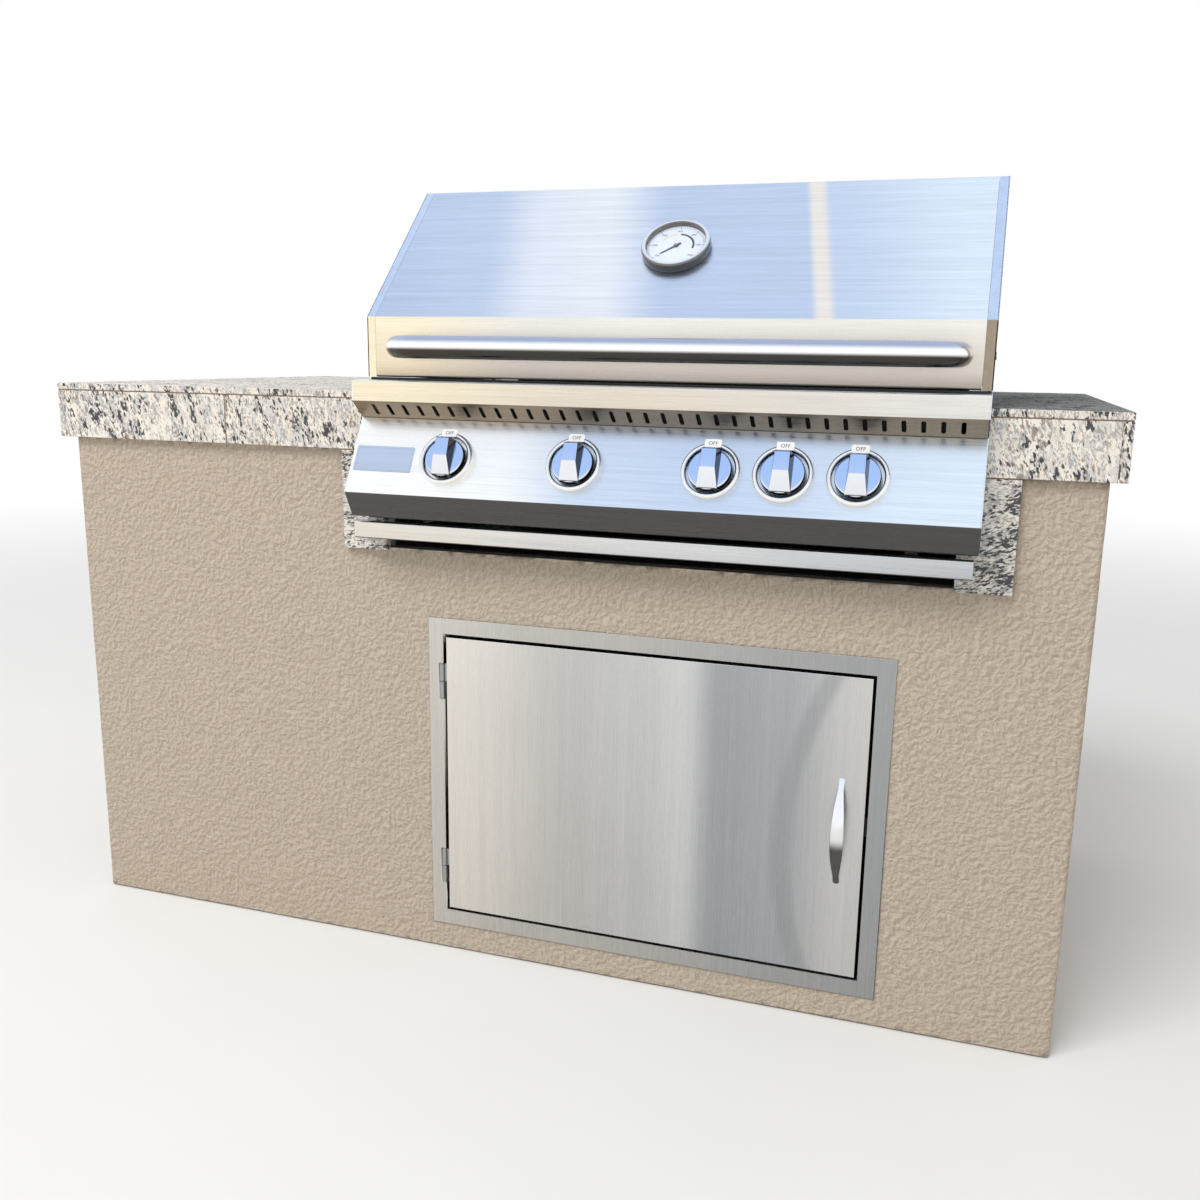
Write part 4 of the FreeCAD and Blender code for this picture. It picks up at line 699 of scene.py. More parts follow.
def crystals_group(tree, given):
    """Crystals of granite: a mask whose clusters gather where a soft noise is high."""
    place, size = given["Vector"], given["Size"]
    wobble = add(tree, "ShaderNodeTexNoise", {
        0: place, "Scale": size * 1.2, "Detail": 2.0})["Color"]
    grain = place.vector("ADD", wobble.vector("SCALE", Scale=1.1 / size)).cells(size)
    total = grain * 0.28 + place.noise(given["Spread"], 3.0, 0.6, 0.8) * 0.72
    return {"Mask": total.between(given["Low"], given["High"])}


def stains_group(_, given):
    """Slow stains and dust that tone a surface down a little."""
    slow = given["Vector"].noise(given["Size"], 3.0, 0.55)
    return {"Tone": slow.portion(0.25, 0.75, 1.0 - given["Amount"], 1.0)}


class Finish:
    """A node material: one shader, the coordinates, and what feeds it."""

    def __init__(self, name, **plain):
        self.material = bpy.data.materials.new(name)
        self.material.use_nodes = True
        self.tree = self.material.node_tree
        self.shader = self.tree.nodes["Principled BSDF"]
        for socket, value in plain.items():
            self.shader.inputs[socket.replace("_", " ")].default_value = value
        self.coordinates = add(self.tree, "ShaderNodeTexCoord")
        self.place = self.coordinates["Object"]

    def across(self, origin=GRILL):
        """Millimetres from an origin, as separate x, y and z."""
        return self.place.then("ShaderNodeMapping", {
            "Location": -origin / MM, "Scale": (1 / MM,) * 3}).parts()

    def group(self, name, **values):
        """A shared group placed in this finish."""
        return add(self.tree, "ShaderNodeGroup", values, node_tree=tree_named(name))

    def facing(self, ends):
        """Masks of the faces that look up, down and forward, each eased between two ends."""
        return self.group("Facing", Low=ends[0], High=ends[1])

    def stained(self, tone, size, amount):
        """A tone that stains tone down."""
        stains = self.group("Stains", Vector=self.place, Size=size, Amount=amount)
        return tone.times(stains["Tone"])

    def feed(self, socket, value):
        """Links a colour, a number or a normal into the shader."""
        self.tree.links.new(value.socket, self.shader.inputs[socket])

    def bump(self, height, distance, strength=1.0):
        """Relief from a height, in millimetres."""
        self.feed("Normal", add(self.tree, "ShaderNodeBump", {
            "Height": height, "Distance": distance * MM, "Strength": strength})[0])

    def covered(self, factor, first, second):
        """Shows two shaders mixed by a factor."""
        both = add(self.tree, "ShaderNodeMixShader", {0: factor, 1: first, 2: second})[0]
        self.tree.links.new(both.socket, self.tree.nodes["Material Output"].inputs["Surface"])


# Finishes

def tone_of(finish, tone):
    """A tone given as sRGB bytes, as a setting's name, or as what a function works out."""
    if callable(tone):
        return tone(finish)
    if isinstance(tone, str):
        group, name = tone.split(".")
        return getattr(getattr(bpy.context.scene, "island_" + group), name)
    return linear(*tone)


def across_grill(*stops, lean=0.0):
    """A tone that changes from the grill's left end to its right, leaning with height."""
    def tone(finish):
        x, _, z = finish.across()
        height = z.portion(HOOD_CREASE[1], HOOD_RIDGE[1])
        return (x.portion(-GRILL_HALF, GRILL_HALF) + height * lean).ramp(*stops)
    return tone


def up_hood_front(*stops):
    """A tone that changes from the hood's lower edge to its crease."""
    return lambda finish: finish.across()[2].portion(912, 999).ramp(*stops)


def blended(first, second, mask):
    """Two tones mixed by a mask that a function works out."""
    return lambda finish: mask(finish).mixed(tone_of(finish, first), tone_of(finish, second))


GRAIN = {"x": (0.018, 1, 1), "y": (1, 0.018, 1), "z": (1, 1, 0.018)}


def brushed(front, up, down, grain="x", contrast=0.16, ends=(0.2, 0.45), name=""):
    """Brushed steel, with painted reflection and painted shade: a tone for the faces that look
    forward, up and down.
    """
    finish = Finish(name, Metallic=1.0)
    lines, smear = finish.group("Brushed grain", Fineness=520.0,
                                Vector=finish.place.stretched(*GRAIN[grain]))
    facing = finish.facing(ends)
    # The up tone is painted sky reflection and the down tone painted shade; the front tones of the
    # hood, caps, ledge, panel, door, frame, tray and plate are painted reflections
    tone = tone_of(finish, front)
    for mask, other in (("Up", up), ("Down", down)):
        tone = facing[mask].mixed(tone, tone_of(finish, other))
    depth = lines.portion(0.3, 0.7)
    shade = depth.portion(0.0, 1.0, 1.0 - contrast, 1.0 + contrast / 3)
    finish.feed("Base Color", finish.stained(tone.times(shade), 3.0, 0.06))
    rough = bpy.context.scene.island_steel.roughness
    worn = (depth * 0.6 + smear * 0.4).between(0.2, 0.8, rough - 0.05, rough + 0.08)
    finish.feed("Roughness", worn)
    finish.bump(lines, 0.035, 0.5)
    return finish.material


def polished(front, up, down, right=None, roughness=0.1, rising=(0.1, 0.5), falling=(0.1, 0.5),
             name=""):
    """Mirror-bright steel with light scratches, with painted reflections by the way its faces look
    forward, up and down, and painted shade on faces that look right.
    """
    finish = Finish(name, Metallic=1.0)
    above, below = finish.facing(rising), finish.facing(falling)
    tone = above["Up"].mixed(tone_of(finish, front), tone_of(finish, up))
    tone = below["Down"].mixed(tone, tone_of(finish, down))
    # Painted shade on the faces that look to the right
    if right is not None:
        side = finish.coordinates["Normal"].parts()[0]
        tone = side.between(0.55, 0.85).mixed(tone, tone_of(finish, right))
    scratches = finish.place.stretched(1, 0.3, 1).noise(900.0, 2.0, 0.7)
    finish.feed("Base Color", tone.times(scratches.between(0.2, 0.8, 0.94, 1.02)))
    slow = finish.place.noise(30.0)
    finish.feed("Roughness", slow.between(0.3, 0.8, roughness, roughness + 0.09))
    finish.bump(scratches, 0.01, 0.3)
    return finish.material


def coated(tone, roughness=0.5, metallic=0.0, size=120.0, amount=0.2, relief=0.05,
           grain=(1, 1, 1), fleck=None, name=""):
    """A plain surface with a fine mottle, stains and a little relief."""
    finish = Finish(name, Metallic=metallic)
    tone = tone_of(finish, tone)
    place = finish.place.stretched(*grain)
    mottle = place.noise(size, 4.0, 0.6)
    base = mottle.between(0.3, 0.75).mixed([c * (1 - amount) for c in tone], tone)
    if fleck is not None:
        base = place.cells(size).between(0.35, 0.95, 0.0, 0.6).mixed(base, linear(*fleck))
    finish.feed("Base Color", finish.stained(base, 6.0, 0.14))
    finish.feed("Roughness", mottle.between(0.25, 0.8, roughness, roughness + 0.12))
    finish.bump(mottle, relief)
    return finish.material


GRAIN_SIZE = 150.0
# An offset towards the light, for painting the grains' lit and shaded sides
LIGHT_FROM = (0.0013, 0.0, -0.0013)


def stucco(name=""):
    """Sand-finished stucco over a slow change of tone, with painted highlight and painted shade on
    the grains' sides and painted shade in the small pits.
    """
    walls = bpy.context.scene.island_walls
    finish = Finish(name, Roughness=0.95, Specular_IOR_Level=0.1)
    swirl = finish.place.noise(26.0)
    wander = add(finish.tree, "ShaderNodeTexNoise", {0: finish.place, "Scale": 38.0})["Color"]
    bent = wander.vector("MULTIPLY_ADD", (0.018,) * 3, finish.place)
    grains = bent.noise(GRAIN_SIZE)
    # Painted light: the grain height shifted towards the light, less the height here, marks each
    # grain's lit and shaded sides
    lit = bent.vector("ADD", LIGHT_FROM).noise(GRAIN_SIZE) - grains
    pits = bent.noise(300.0, 2.0, 0.6)
    tone = swirl.between(0.3, 0.7, 0.0, 0.4).mixed(walls.stucco, [c * 0.93 for c in walls.stucco])
    # Painted highlight and painted shade on the grains, and painted shade in the pits
    for mask, other in ((lit.between(0.01, 0.09, 0.0, 0.5), walls.stucco_painted_highlight),
                        (lit.between(-0.01, -0.09, 0.0, 0.38), walls.stucco_painted_shade),
                        (pits.between(0.44, 0.28, 0.0, 0.4), walls.stucco_painted_shade)):
        tone = mask.mixed(tone, other)
    finish.feed("Base Color", tone)
    finish.bump(grains + pits * 0.35, walls.relief / MM, 0.85)
    return finish.material


# Crystals: the setting of their colour, how far they cover, their size, their clusters' size,
# and where their mask starts
CRYSTALS = (("cloud", 0.6, 120.0, 14.0, 0.5), ("sand", 0.5, 90.0, 9.0, 0.55),
            ("smoke", 0.6, 460.0, 60.0, 0.55), ("rust", 0.7, 280.0, 30.0, 0.625),
            ("dark", 0.95, 280.0, 28.0, 0.597))


def granite(grain, density=0.0, shade=1.0, roughness=0.16, gloss=0.5, flat=None, name=""):
    """Pale granite: grey and tan clouds with dark crystals in clusters.

    A tone given as flat is a painted dark reflection: what the polished face mirrors when it is
    seen edge-on."""
    stone = bpy.context.scene.island_stone
    finish = Finish(name, Specular_IOR_Level=gloss)
    tile = add(finish.tree, "ShaderNodeAttribute", attribute_name="tile")["Vector"]
    leaning = finish.place.vector("ADD", tile).then(
        "ShaderNodeVectorRotate", {"Angle": 0.28}, rotation_type="Y_AXIS").stretched(*grain)
    tone = [c * shade for c in stone.ground]
    for crystal, amount, size, spread, low in CRYSTALS:
        if crystal in ("smoke", "dark"):
            low -= density
        mask = finish.group("Stone crystals", Vector=leaning, Size=size, Spread=spread, Low=low,
                            High=low + 0.045)["Mask"]
        tone = (mask * amount).mixed(tone, [c * shade for c in getattr(stone, crystal)])
    tone = finish.stained(tone, 5.0, 0.06)
    # Painted dark reflection on a face seen edge-on, with its gloss taken away
    if flat:
        facing = add(finish.tree, "ShaderNodeLayerWeight", {"Blend": 0.5})["Facing"]
        edge_on = facing.between(0.78, 0.94)
        tone = edge_on.mixed(tone, tone.times(flat))
        finish.feed("Specular IOR Level", edge_on.between(0.0, 1.0, gloss, 0.0))
    finish.feed("Base Color", tone)
    finish.feed("Roughness", mask.between(0.0, 1.0, roughness, roughness + 0.12))
    finish.bump(mask, 0.03, 0.4)
    return finish.material


def glass(name=""):
    """Clear flat glass: mirror-like at its rim of view, otherwise open to the light."""
    finish = Finish(name, Base_Color=(1, 1, 1, 1), IOR=1.45)
    finish.feed("Roughness", finish.place.noise(60.0).between(0.4, 0.8, 0.02, 0.08))
    edge_on = add(finish.tree, "ShaderNodeFresnel", {"IOR": 1.35})[0]
    inside = add(finish.tree, "ShaderNodeNewGeometry")["Backfacing"]
    finish.covered(edge_on * (1.0 - inside), add(finish.tree, "ShaderNodeBsdfTransparent")[0],
                   Value(finish.shader.outputs[0]))
    return finish.material


# The hood's upright front, painted reflection: cream at the left, brightest along its top, darker
# towards its lower edge
HOOD_FRONT_REFLECTION = blended(
    up_hood_front((0.0, (186, 176, 165)), (0.35, (220, 212, 203)), (1.0, (240, 237, 230))),
    up_hood_front((0.0, (222, 204, 174)), (0.3, (250, 234, 203)), (1.0, (255, 243, 212))),
    lambda finish: finish.across()[0].between(-180.0, -400.0, 0.0, 0.85))

# The hood's slope, painted sky reflection: sky tones with one broad pale band and a narrow warm
# one
HOOD_SLOPE_REFLECTION = across_grill(
    (0.0, (187, 203, 230)), (0.19, (194, 208, 232)), (0.3, (228, 233, 243)),
    (0.4, (232, 236, 243)), (0.52, (192, 206, 231)), (0.737, (193, 208, 232)),
    (0.75, (238, 232, 225)), (0.762, (238, 232, 225)), (0.777, (200, 214, 236)),
    (1.0, (222, 235, 248)), lean=0.054)


def bow(finish):
    """A faint curved streak of painted reflection, where the door's sheet isn't quite flat."""
    x, _, z = finish.across()
    height = (z - 262.0) / 195.0
    return (x - (206.0 + height * height * 36.0)).calc("ABSOLUTE").between(22.0, 6.0, 0.0, 0.6)


# The door's upright bands of painted reflection, warm at the left and cool past its middle, with
# the streak
DOOR_REFLECTION = blended(across_grill(
    (0.13, (229, 223, 215)), (0.38, (198, 196, 193)), (0.48, (200, 200, 198)),
    (0.565, (210, 211, 210)), (0.62, (168, 171, 174)), (0.73, (175, 177, 180)),
    (0.84, (206, 205, 202)), (0.95, (204, 204, 202))), (158, 161, 163), bow)

# Painted reflections across the grill: the caps' fronts darken to the right; the ledge, panel,
# door frame and tray strip carry their own bands
CAP_FRONT_REFLECTION = across_grill((0.0, (254, 240, 208)), (0.5, (220, 212, 198)), (1.0, (160, 148, 131)))
LEDGE_REFLECTION = across_grill((0.0, (250, 237, 207)), (0.45, (226, 217, 203)), (1.0, (230, 228, 223)))
PANEL_REFLECTION = across_grill((0.0, (250, 251, 251)), (0.26, (244, 247, 250)), (0.42, (206, 220, 241)),
                          (0.6, (199, 214, 238)), (1.0, (224, 237, 250)))
FRAME_REFLECTION = across_grill((0.1, (208, 204, 197)), (0.3, (193, 190, 184)), (0.9, (166, 168, 168)))
TRAY_REFLECTION = across_grill((0.0, (226, 220, 208)), (0.5, (212, 212, 212)), (1.0, (196, 199, 202)))


def cap_reflection(finish):
    """The end caps: a neutral side, and a front of painted reflection that darkens to the right.
    """
    return finish.facing((0.3, 0.7))["Forward"].mixed(linear(192, 190, 186), CAP_FRONT_REFLECTION(finish))


FINE = {"size": 400.0, "amount": 0.12, "relief": 0.02}
# SHADE and UNDER are painted shade, for faces that look down
PLAIN, SHADE, UNDER = "steel.plain", "steel.shade", (120, 118, 115)

# In the steel finishes the up tones are painted sky reflection, the darker down tones painted
# shade and the pale down tones painted reflection; the plate's blue is painted sky reflection
FINISHES = {
    "hood_sheet": partial(brushed, HOOD_FRONT_REFLECTION, HOOD_SLOPE_REFLECTION, SHADE, ends=(0.25, 0.62)),
    "hood_band": partial(brushed, cap_reflection, (194, 212, 240), SHADE, "y", ends=(0.25, 0.62)),
    "ledge_sheet": partial(brushed, LEDGE_REFLECTION, (232, 236, 240), (158, 141, 120)),
    "panel_sheet": partial(brushed, PANEL_REFLECTION, PANEL_REFLECTION, (92, 91, 90)),
    "tray_strip": partial(brushed, TRAY_REFLECTION, (236, 238, 240), SHADE),
    "door_sheet": partial(brushed, DOOR_REFLECTION, (244, 246, 248), (206, 206, 204), "z", 0.1),
    "frame_sheet": partial(brushed, FRAME_REFLECTION, (240, 241, 241), SHADE, "z", 0.1),
    "plate": partial(brushed, (184, 198, 222), (186, 200, 223), SHADE, contrast=0.08),
    "plain_sheet": partial(brushed, PLAIN, PLAIN, SHADE),
    "side_sheet": partial(brushed, PLAIN, "steel.cool", SHADE, "y"),
    "lining": partial(brushed, (150, 149, 147), (150, 149, 147), UNDER),
    # Polished parts: the front, up and down tones are painted reflections and highlights, the dark
    # down tones painted shade, and the knob's right tone painted shade
    "handle": partial(polished, (246, 246, 245), (160, 172, 198), (72, 69, 65), roughness=0.14,
                      rising=(0.3, 0.72), falling=(-0.08, 0.26)),
    "pull": partial(polished, (236, 236, 234), (226, 234, 250), (92, 90, 88), roughness=0.12,
                    falling=(0.0, 0.16)),
    "knob": partial(polished, (226, 229, 234), (163, 190, 236), (110, 108, 105), (84, 82, 80),
                    0.09, (0.15, 0.44), (0.15, 0.44)),
    "bezel": partial(polished, (228, 230, 232), (206, 216, 232), (248, 244, 236), roughness=0.12,
                     rising=(0.4, 0.8), falling=(-0.35, 0.1)),
    "case": partial(polished, (120, 117, 112), (214, 222, 236), (96, 92, 87),
                    rising=(0.2, 0.7), falling=(0.2, 0.7)),
    "rods": partial(polished, (196, 197, 197), (214, 218, 224), UNDER, roughness=0.24),
    "screws": partial(polished, PLAIN, (222, 226, 232), UNDER),
    "stucco": stucco,
    # The counter's top faces: the same granite darkened to 0.88 as painted shade; the tiles right
    # of the grill add a painted dark reflection when seen edge-on
    "top_stone": partial(granite, (1, 1, 1), 0.01, 0.88, 0.34, 0.12),
    "shaded_stone": partial(granite, (1, 1, 1), 0.01, 0.88, 0.34, 0.12, (0.45, 0.5, 0.56)),
    "edge_stone": partial(granite, (1.3, 1.3, 0.6), 0.02),
    "strip_stone": partial(granite, (0.65, 1, 1.5), 0.045, 0.93),
    "grout": partial(coated, "stone.grout", 0.9, size=500.0, relief=0.2),
    "board": partial(coated, "walls.board", 0.85, size=180.0, relief=0.3, fleck=(186, 186, 180)),
    "galvanised": partial(coated, "walls.galvanised", 0.36, 1.0, 90.0, 0.1, 0.02,
                          fleck=(206, 211, 215)),
    "packing": partial(coated, "walls.packing", 0.7, size=60.0, amount=0.35, relief=0.2,
                       grain=(0.06, 1, 1)),
    "zinc": partial(coated, "steel.zinc", 0.3, 1.0, **FINE),
    "valve": partial(coated, (196, 168, 112), 0.34, 1.0, **FINE),
    "dark_sheet": partial(coated, "steel.dark", 0.42, 1.0, 14.0, 0.24, 0.03),
    "burner": partial(coated, (158, 156, 152), 0.36, 1.0, 50.0, 0.22, 0.03),
    "ceramic": partial(coated, (196, 172, 140), 0.85, size=300.0, relief=0.3),
    "spring": partial(coated, (150, 152, 156), 0.28, 1.0, **FINE),
    # Also given to the dark strips in the gaps under the hood and above the tray, as painted shade
    "catch": partial(coated, (58, 58, 60), 0.45, **FINE),
    # Near-black, for the discs that stand in for the flame ports as painted shade where the holes
    # are
    "port": partial(coated, (24, 23, 22), 0.9, **FINE),
    "enamel": partial(coated, "controls.enamel", 0.3, size=200.0, amount=0.04),
    "ink": partial(coated, "controls.ink", 0.5, **FINE),
    "dial": partial(coated, (222, 231, 245), 0.35, size=80.0, amount=0.05),
    "dial_arc": partial(coated, (226, 216, 198), 0.4, **FINE),
    "needle": partial(coated, (58, 62, 72), 0.35, **FINE),
    "gauge_glass": glass,
}
MADE = {}


def finish_named(name):
    """A finish by name, built once."""
    if name not in MADE:
        MADE[name] = FINISHES[name](name=name)
    return MADE[name]


# Geometry Nodes trees, for what repeats

INSTANCES = "GeometryNodeInstanceOnPoints"


def moved(geometry, **how):
    """Geometry moved or scaled."""
    return geometry.then("GeometryNodeTransform", how)


def vector(tree, *parts):
    """A vector of numbers and values."""
    return add(tree, "ShaderNodeCombineXYZ", enumerate(parts))[0]


def in_a_row(tree, given, instance):
    """Copies of an instance in a straight row, turned alike."""
    line = add(tree, "GeometryNodeMeshLine", {
        "Count": given["Count"], "Start Location": given["Start"], "Offset": given["Step"]})[0]
    return {"Geometry": line.then(INSTANCES, {"Instance": instance, "Rotation": given["Turn"]})}


def rod_row(tree, given):
    """A row of like round rods."""
    return in_a_row(tree, given, add(tree, "GeometryNodeMeshCylinder", {
        "Vertices": given["Sides"], "Radius": given["Radius"], "Depth": given["Length"]})[0])


def slot_row(tree, given):
    """A row of cutters for slots with round ends."""
    outline = add(tree, "GeometryNodeCurvePrimitiveQuadrilateral", {
        "Width": given["Width"], "Height": given["Length"]})[0]
    flat = outline.then("GeometryNodeFilletCurve", {
        "Radius": given["Width"] * 0.499, "Count": 5, "Limit Radius": True}, mode="POLY").then(
            "GeometryNodeFillCurve", mode="NGONS")
    low = moved(flat, Translation=vector(tree, 0, 0, given["Depth"] * -0.5))
    tall = low.then("GeometryNodeExtrudeMesh", {"Offset Scale": given["Depth"]})
    both = add(tree, "GeometryNodeJoinGeometry", {0: [low.then("GeometryNodeFlipFaces"), tall]})[0]
    return in_a_row(tree, given, both.then("GeometryNodeMergeByDistance", {"Distance": 1e-6}))


def screw_heads(tree, given):
    """A domed screw head with a cross recess on every point, each turned at random."""
    radius, height = given["Radius"], given["Height"]
    ball = add(tree, "GeometryNodeMeshUVSphere", {
        "Segments": 20, "Rings": 10, "Radius": radius})[0]
    dome = moved(ball, Scale=vector(tree, 1, 1, height / radius))
    wide, thin = radius * 1.1, radius * 0.24
    bars = []
    for first, second in ((wide, thin), (thin, wide)):
        bar = add(tree, "GeometryNodeMeshCube", {"Size": vector(tree, first, second, height)})[0]
        bars.append(moved(bar, Translation=vector(tree, 0, 0, height)))
    cross = add(tree, "GeometryNodeJoinGeometry", {0: bars})[0]
    head = dome.then("GeometryNodeMeshBoolean", {"Mesh 2": cross, "Self Intersection": True},
                     operation="DIFFERENCE", solver="EXACT")
    spin = add(tree, "FunctionNodeRandomValue", {"Seed": given["Seed"], 3: math.pi},
               data_type="FLOAT")[1]
    around = vector(tree, 0, 0, spin).then("FunctionNodeEulerToRotation")
    turned = given["Turn"].then("FunctionNodeRotateRotation", {1: around}, rotation_space="LOCAL")
    return {"Geometry": given["Geometry"].then(INSTANCES, {"Instance": head, "Rotation": turned})}


def dial_ticks(tree, given):
    """Marks round a dial, on its own face, from one angle over a sweep."""
    points = add(tree, "GeometryNodeMeshLine", {"Count": given["Count"], "Offset": (0, 0, 0)})[0]
    size = vector(tree, given["Width"], given["Length"], given["Height"])
    bar = add(tree, "GeometryNodeMeshCube", {"Size": size})[0]
    outwards = vector(tree, 0, given["Inner"] + given["Length"] * 0.5)
    step = given["Sweep"] / (given["Count"] - 1.0)
    turn = given["First"] - add(tree, "GeometryNodeInputIndex")[0] * step
    return {"Geometry": points.then(INSTANCES, {
        "Instance": moved(bar, Translation=outwards),
        "Rotation": vector(tree, 0, 0, turn).then("FunctionNodeEulerToRotation")})}


# Node groups: what builds each, and its inputs by kind or by default
ROW = {"Count": 8, "Start": "Vector", "Step": "Vector", "Turn": "Rotation"}
MASKS = {
    "Brushed grain": (brushed_group, {"Vector": "Vector", "Fineness": 520.0, "Smears": 5.0}),
    "Facing": (facing_group, {"Low": 0.1, "High": 0.8}),
    "Stone crystals": (crystals_group, {"Vector": "Vector", "Size": 160.0, "Spread": 14.0,
                                        "Low": 0.5, "High": 0.6}),
    "Stains": (stains_group, {"Vector": "Vector", "Size": 4.0, "Amount": 0.1}),
}
GROWERS = {
    "Rod row": (rod_row, {**ROW, "Radius": 0.004, "Length": 0.48, "Sides": 16}),
    "Slot row": (slot_row, {**ROW, "Width": 0.004, "Length": 0.023, "Depth": 0.01}),
    "Screw heads": (screw_heads, {"Radius": 0.003, "Height": 0.0016, "Turn": "Rotation",
                                  "Seed": 4}),
    "Dial ticks": (dial_ticks, {"Count": 31, "First": 0.0, "Sweep": 4.7, "Inner": 0.03,
                                "Length": 0.004, "Width": 0.0006, "Height": 0.0001}),
}


def tree_named(name):
    """A node group by name, built once; one that grows shapes ends in plain geometry."""
    if name in bpy.data.node_groups:
        return bpy.data.node_groups[name]
    grows = name in GROWERS
    build, inputs = (GROWERS if grows else MASKS)[name]
    if grows:
        inputs = {"Geometry": "Geometry", **inputs, "Finish": "Material"}
    tree = bpy.data.node_groups.new(name, "GeometryNodeTree" if grows else "ShaderNodeTree")
    for socket, value in inputs.items():
        kind = {int: "Int", float: "Float"}.get(type(value), value)
        face = tree.interface.new_socket(socket, in_out="INPUT", socket_type="NodeSocket" + kind)
        if kind is not value:
            face.default_value = value
    given = Outputs(tree.nodes.new("NodeGroupInput"))
    results = build(tree, given)
    if grows:
        plain = results["Geometry"].then("GeometryNodeRealizeInstances")
        results["Geometry"] = plain.then("GeometryNodeSetMaterial", {"Material": given["Finish"]})
    for socket in results:
        tree.interface.new_socket(socket, in_out="OUTPUT",
                                  socket_type="NodeSocketGeometry" if grows else "NodeSocketFloat")
    add(tree, "NodeGroupOutput", results)
    return tree


def grown(name, tree_name, finish, points=(), place=None, **values):
    """An object that a tree grows, as a plain mesh; sizes are in metres."""
    mesh = bpy.data.meshes.new(name)
    mesh.from_pydata([tuple(p) for p in points], [], [])
    obj = linked(name, mesh, "")
    growing = obj.modifiers.new("grow", "NODES")
    growing.node_group = tree_named(tree_name)
    values["Finish"] = finish_named(finish)
    for item in growing.node_group.interface.items_tree:
        if item.in_out == "INPUT" and item.name in values:
            growing[item.identifier] = values[item.name]
    applied(obj)
    if place is not None:
        obj.data.transform(place)
    return smooth(obj)


def in_metres(matrix, origin=GRILL):
    """A placing matrix in millimetres as one in metres, moved to the grill."""
    result = matrix.copy()
    result.translation = origin + matrix.translation * MM
    return result


# Stage

LAMP_SIZE, LAMP_PLACE, LAMP_AIM = (4.2, 3.2), (-1.8, -4.4, 6.1), (0.1, 0.0, 0.5)
FADE = (1700.0, 6500.0)


def sight(tree, stage):
    """What the eye, metal and glass look at: a mask, and a strength that is higher in metal."""
    path = add(tree, "ShaderNodeLightPath")
    metal = path["Is Glossy Ray"].calc("MAXIMUM", path["Is Transmission Ray"])
    return path["Is Camera Ray"].calc("MAXIMUM", metal), metal * (stage.shine - 1) + 1.0


def world_of(scene):
    """The world: plain light on matt surfaces, a pale sky for the eye, metal and glass."""
    stage = scene.island_stage
    scene.world = bpy.data.worlds.new("pale_room")
    scene.world.use_nodes = True
    tree = scene.world.node_tree
    height = add(tree, "ShaderNodeTexCoord")["Generated"].parts()[2]
    sky = height.between(0.42, 0.95).mixed(stage.sky_low, stage.sky_high)
    seen, strength = sight(tree, stage)
    shown = seen.mixed((stage.fill, stage.fill, stage.fill * 1.01), sky)
    for value, socket in ((shown, "Color"), (strength, "Strength")):
        tree.links.new(value.socket, tree.nodes["Background"].inputs[socket])


def floor(name=""):
    """The floor: matt and pale, fading into the background far from the island."""
    stage = bpy.context.scene.island_stage
    finish = Finish(name, Roughness=1.0, Specular_IOR_Level=0.0)
    x, y, _ = finish.across(Vector((0, 0, 0)))
    far = (x * x + y * y).calc("SQRT")
    mottle = finish.place.noise(3.0, 3.0)
    finish.feed("Base Color", mottle.between(0.3, 0.7).mixed(
        stage.floor_colour, [c * 0.99 for c in stage.floor_colour]))
    seen, strength = sight(finish.tree, stage)
    glow = add(finish.tree, "ShaderNodeEmission", {
        "Color": rgba(stage.sky_low), "Strength": strength})[0]
    finish.covered(far.between(*FADE) * seen, Value(finish.shader.outputs[0]), glow)
    return finish.material


FINISHES["floor"] = floor


class ISLAND_OT_stage(Operator):
    """Sets up the camera, the floor, the lamp and the world"""

    bl_idname = "island.stage"
    bl_label = "Stage"

    def execute(self, context):
        scene = context.scene
        stage = scene.island_stage
        scene.view_settings.view_transform = "Standard"
        scene.camera = bpy.data.objects.new("camera", bpy.data.cameras.new("camera"))
        scene.collection.objects.link(scene.camera)
        place = Matrix.Rotation(stage.camera_yaw, 4, "Z")
        for turn, axis in ((stage.camera_pitch, "X"), (stage.camera_roll, "Y"),
                           (math.pi / 2, "X")):
            place = place @ Matrix.Rotation(turn, 4, axis)
        scene.camera.matrix_world = Matrix.Translation(stage.camera_place) @ place
        scene.camera.data.lens = stage.lens
        scene.camera.data.clip_start = 0.02
        lamp = bpy.data.objects.new("key", bpy.data.lights.new("key", "AREA"))
        lamp.data.shape = "RECTANGLE"
        lamp.data.size, lamp.data.size_y = LAMP_SIZE
        lamp.data.energy = stage.key_power
        lamp.location = LAMP_PLACE
        aim = Vector(LAMP_AIM) - lamp.location
        lamp.rotation_euler = aim.to_track_quat("-Z", "Y").to_euler()
        lamp.visible_glossy = False
        scene.collection.objects.link(lamp)
        mesh = bpy.data.meshes.new("floor")
        with edited(mesh) as disc:
            bmesh.ops.create_circle(disc, cap_ends=True, segments=96, radius=stage.floor_radius)
        linked("floor", mesh, "floor")
        world_of(scene)
        return {"FINISHED"}


# Walls

class ISLAND_OT_stud_frame(Operator):
    """Finishes the steel stud frame, the boards and the packing"""

    bl_idname = "island.stud_frame"
    bl_label = "Stud frame and boards"

    def execute(self, context):
        dress("galvanised", "base_tracks", "wall_studs", "top_frame")
        dress("board", "wall_boards", "deck_boards")
        dress("packing", "fascia_packing")
        return {"FINISHED"}


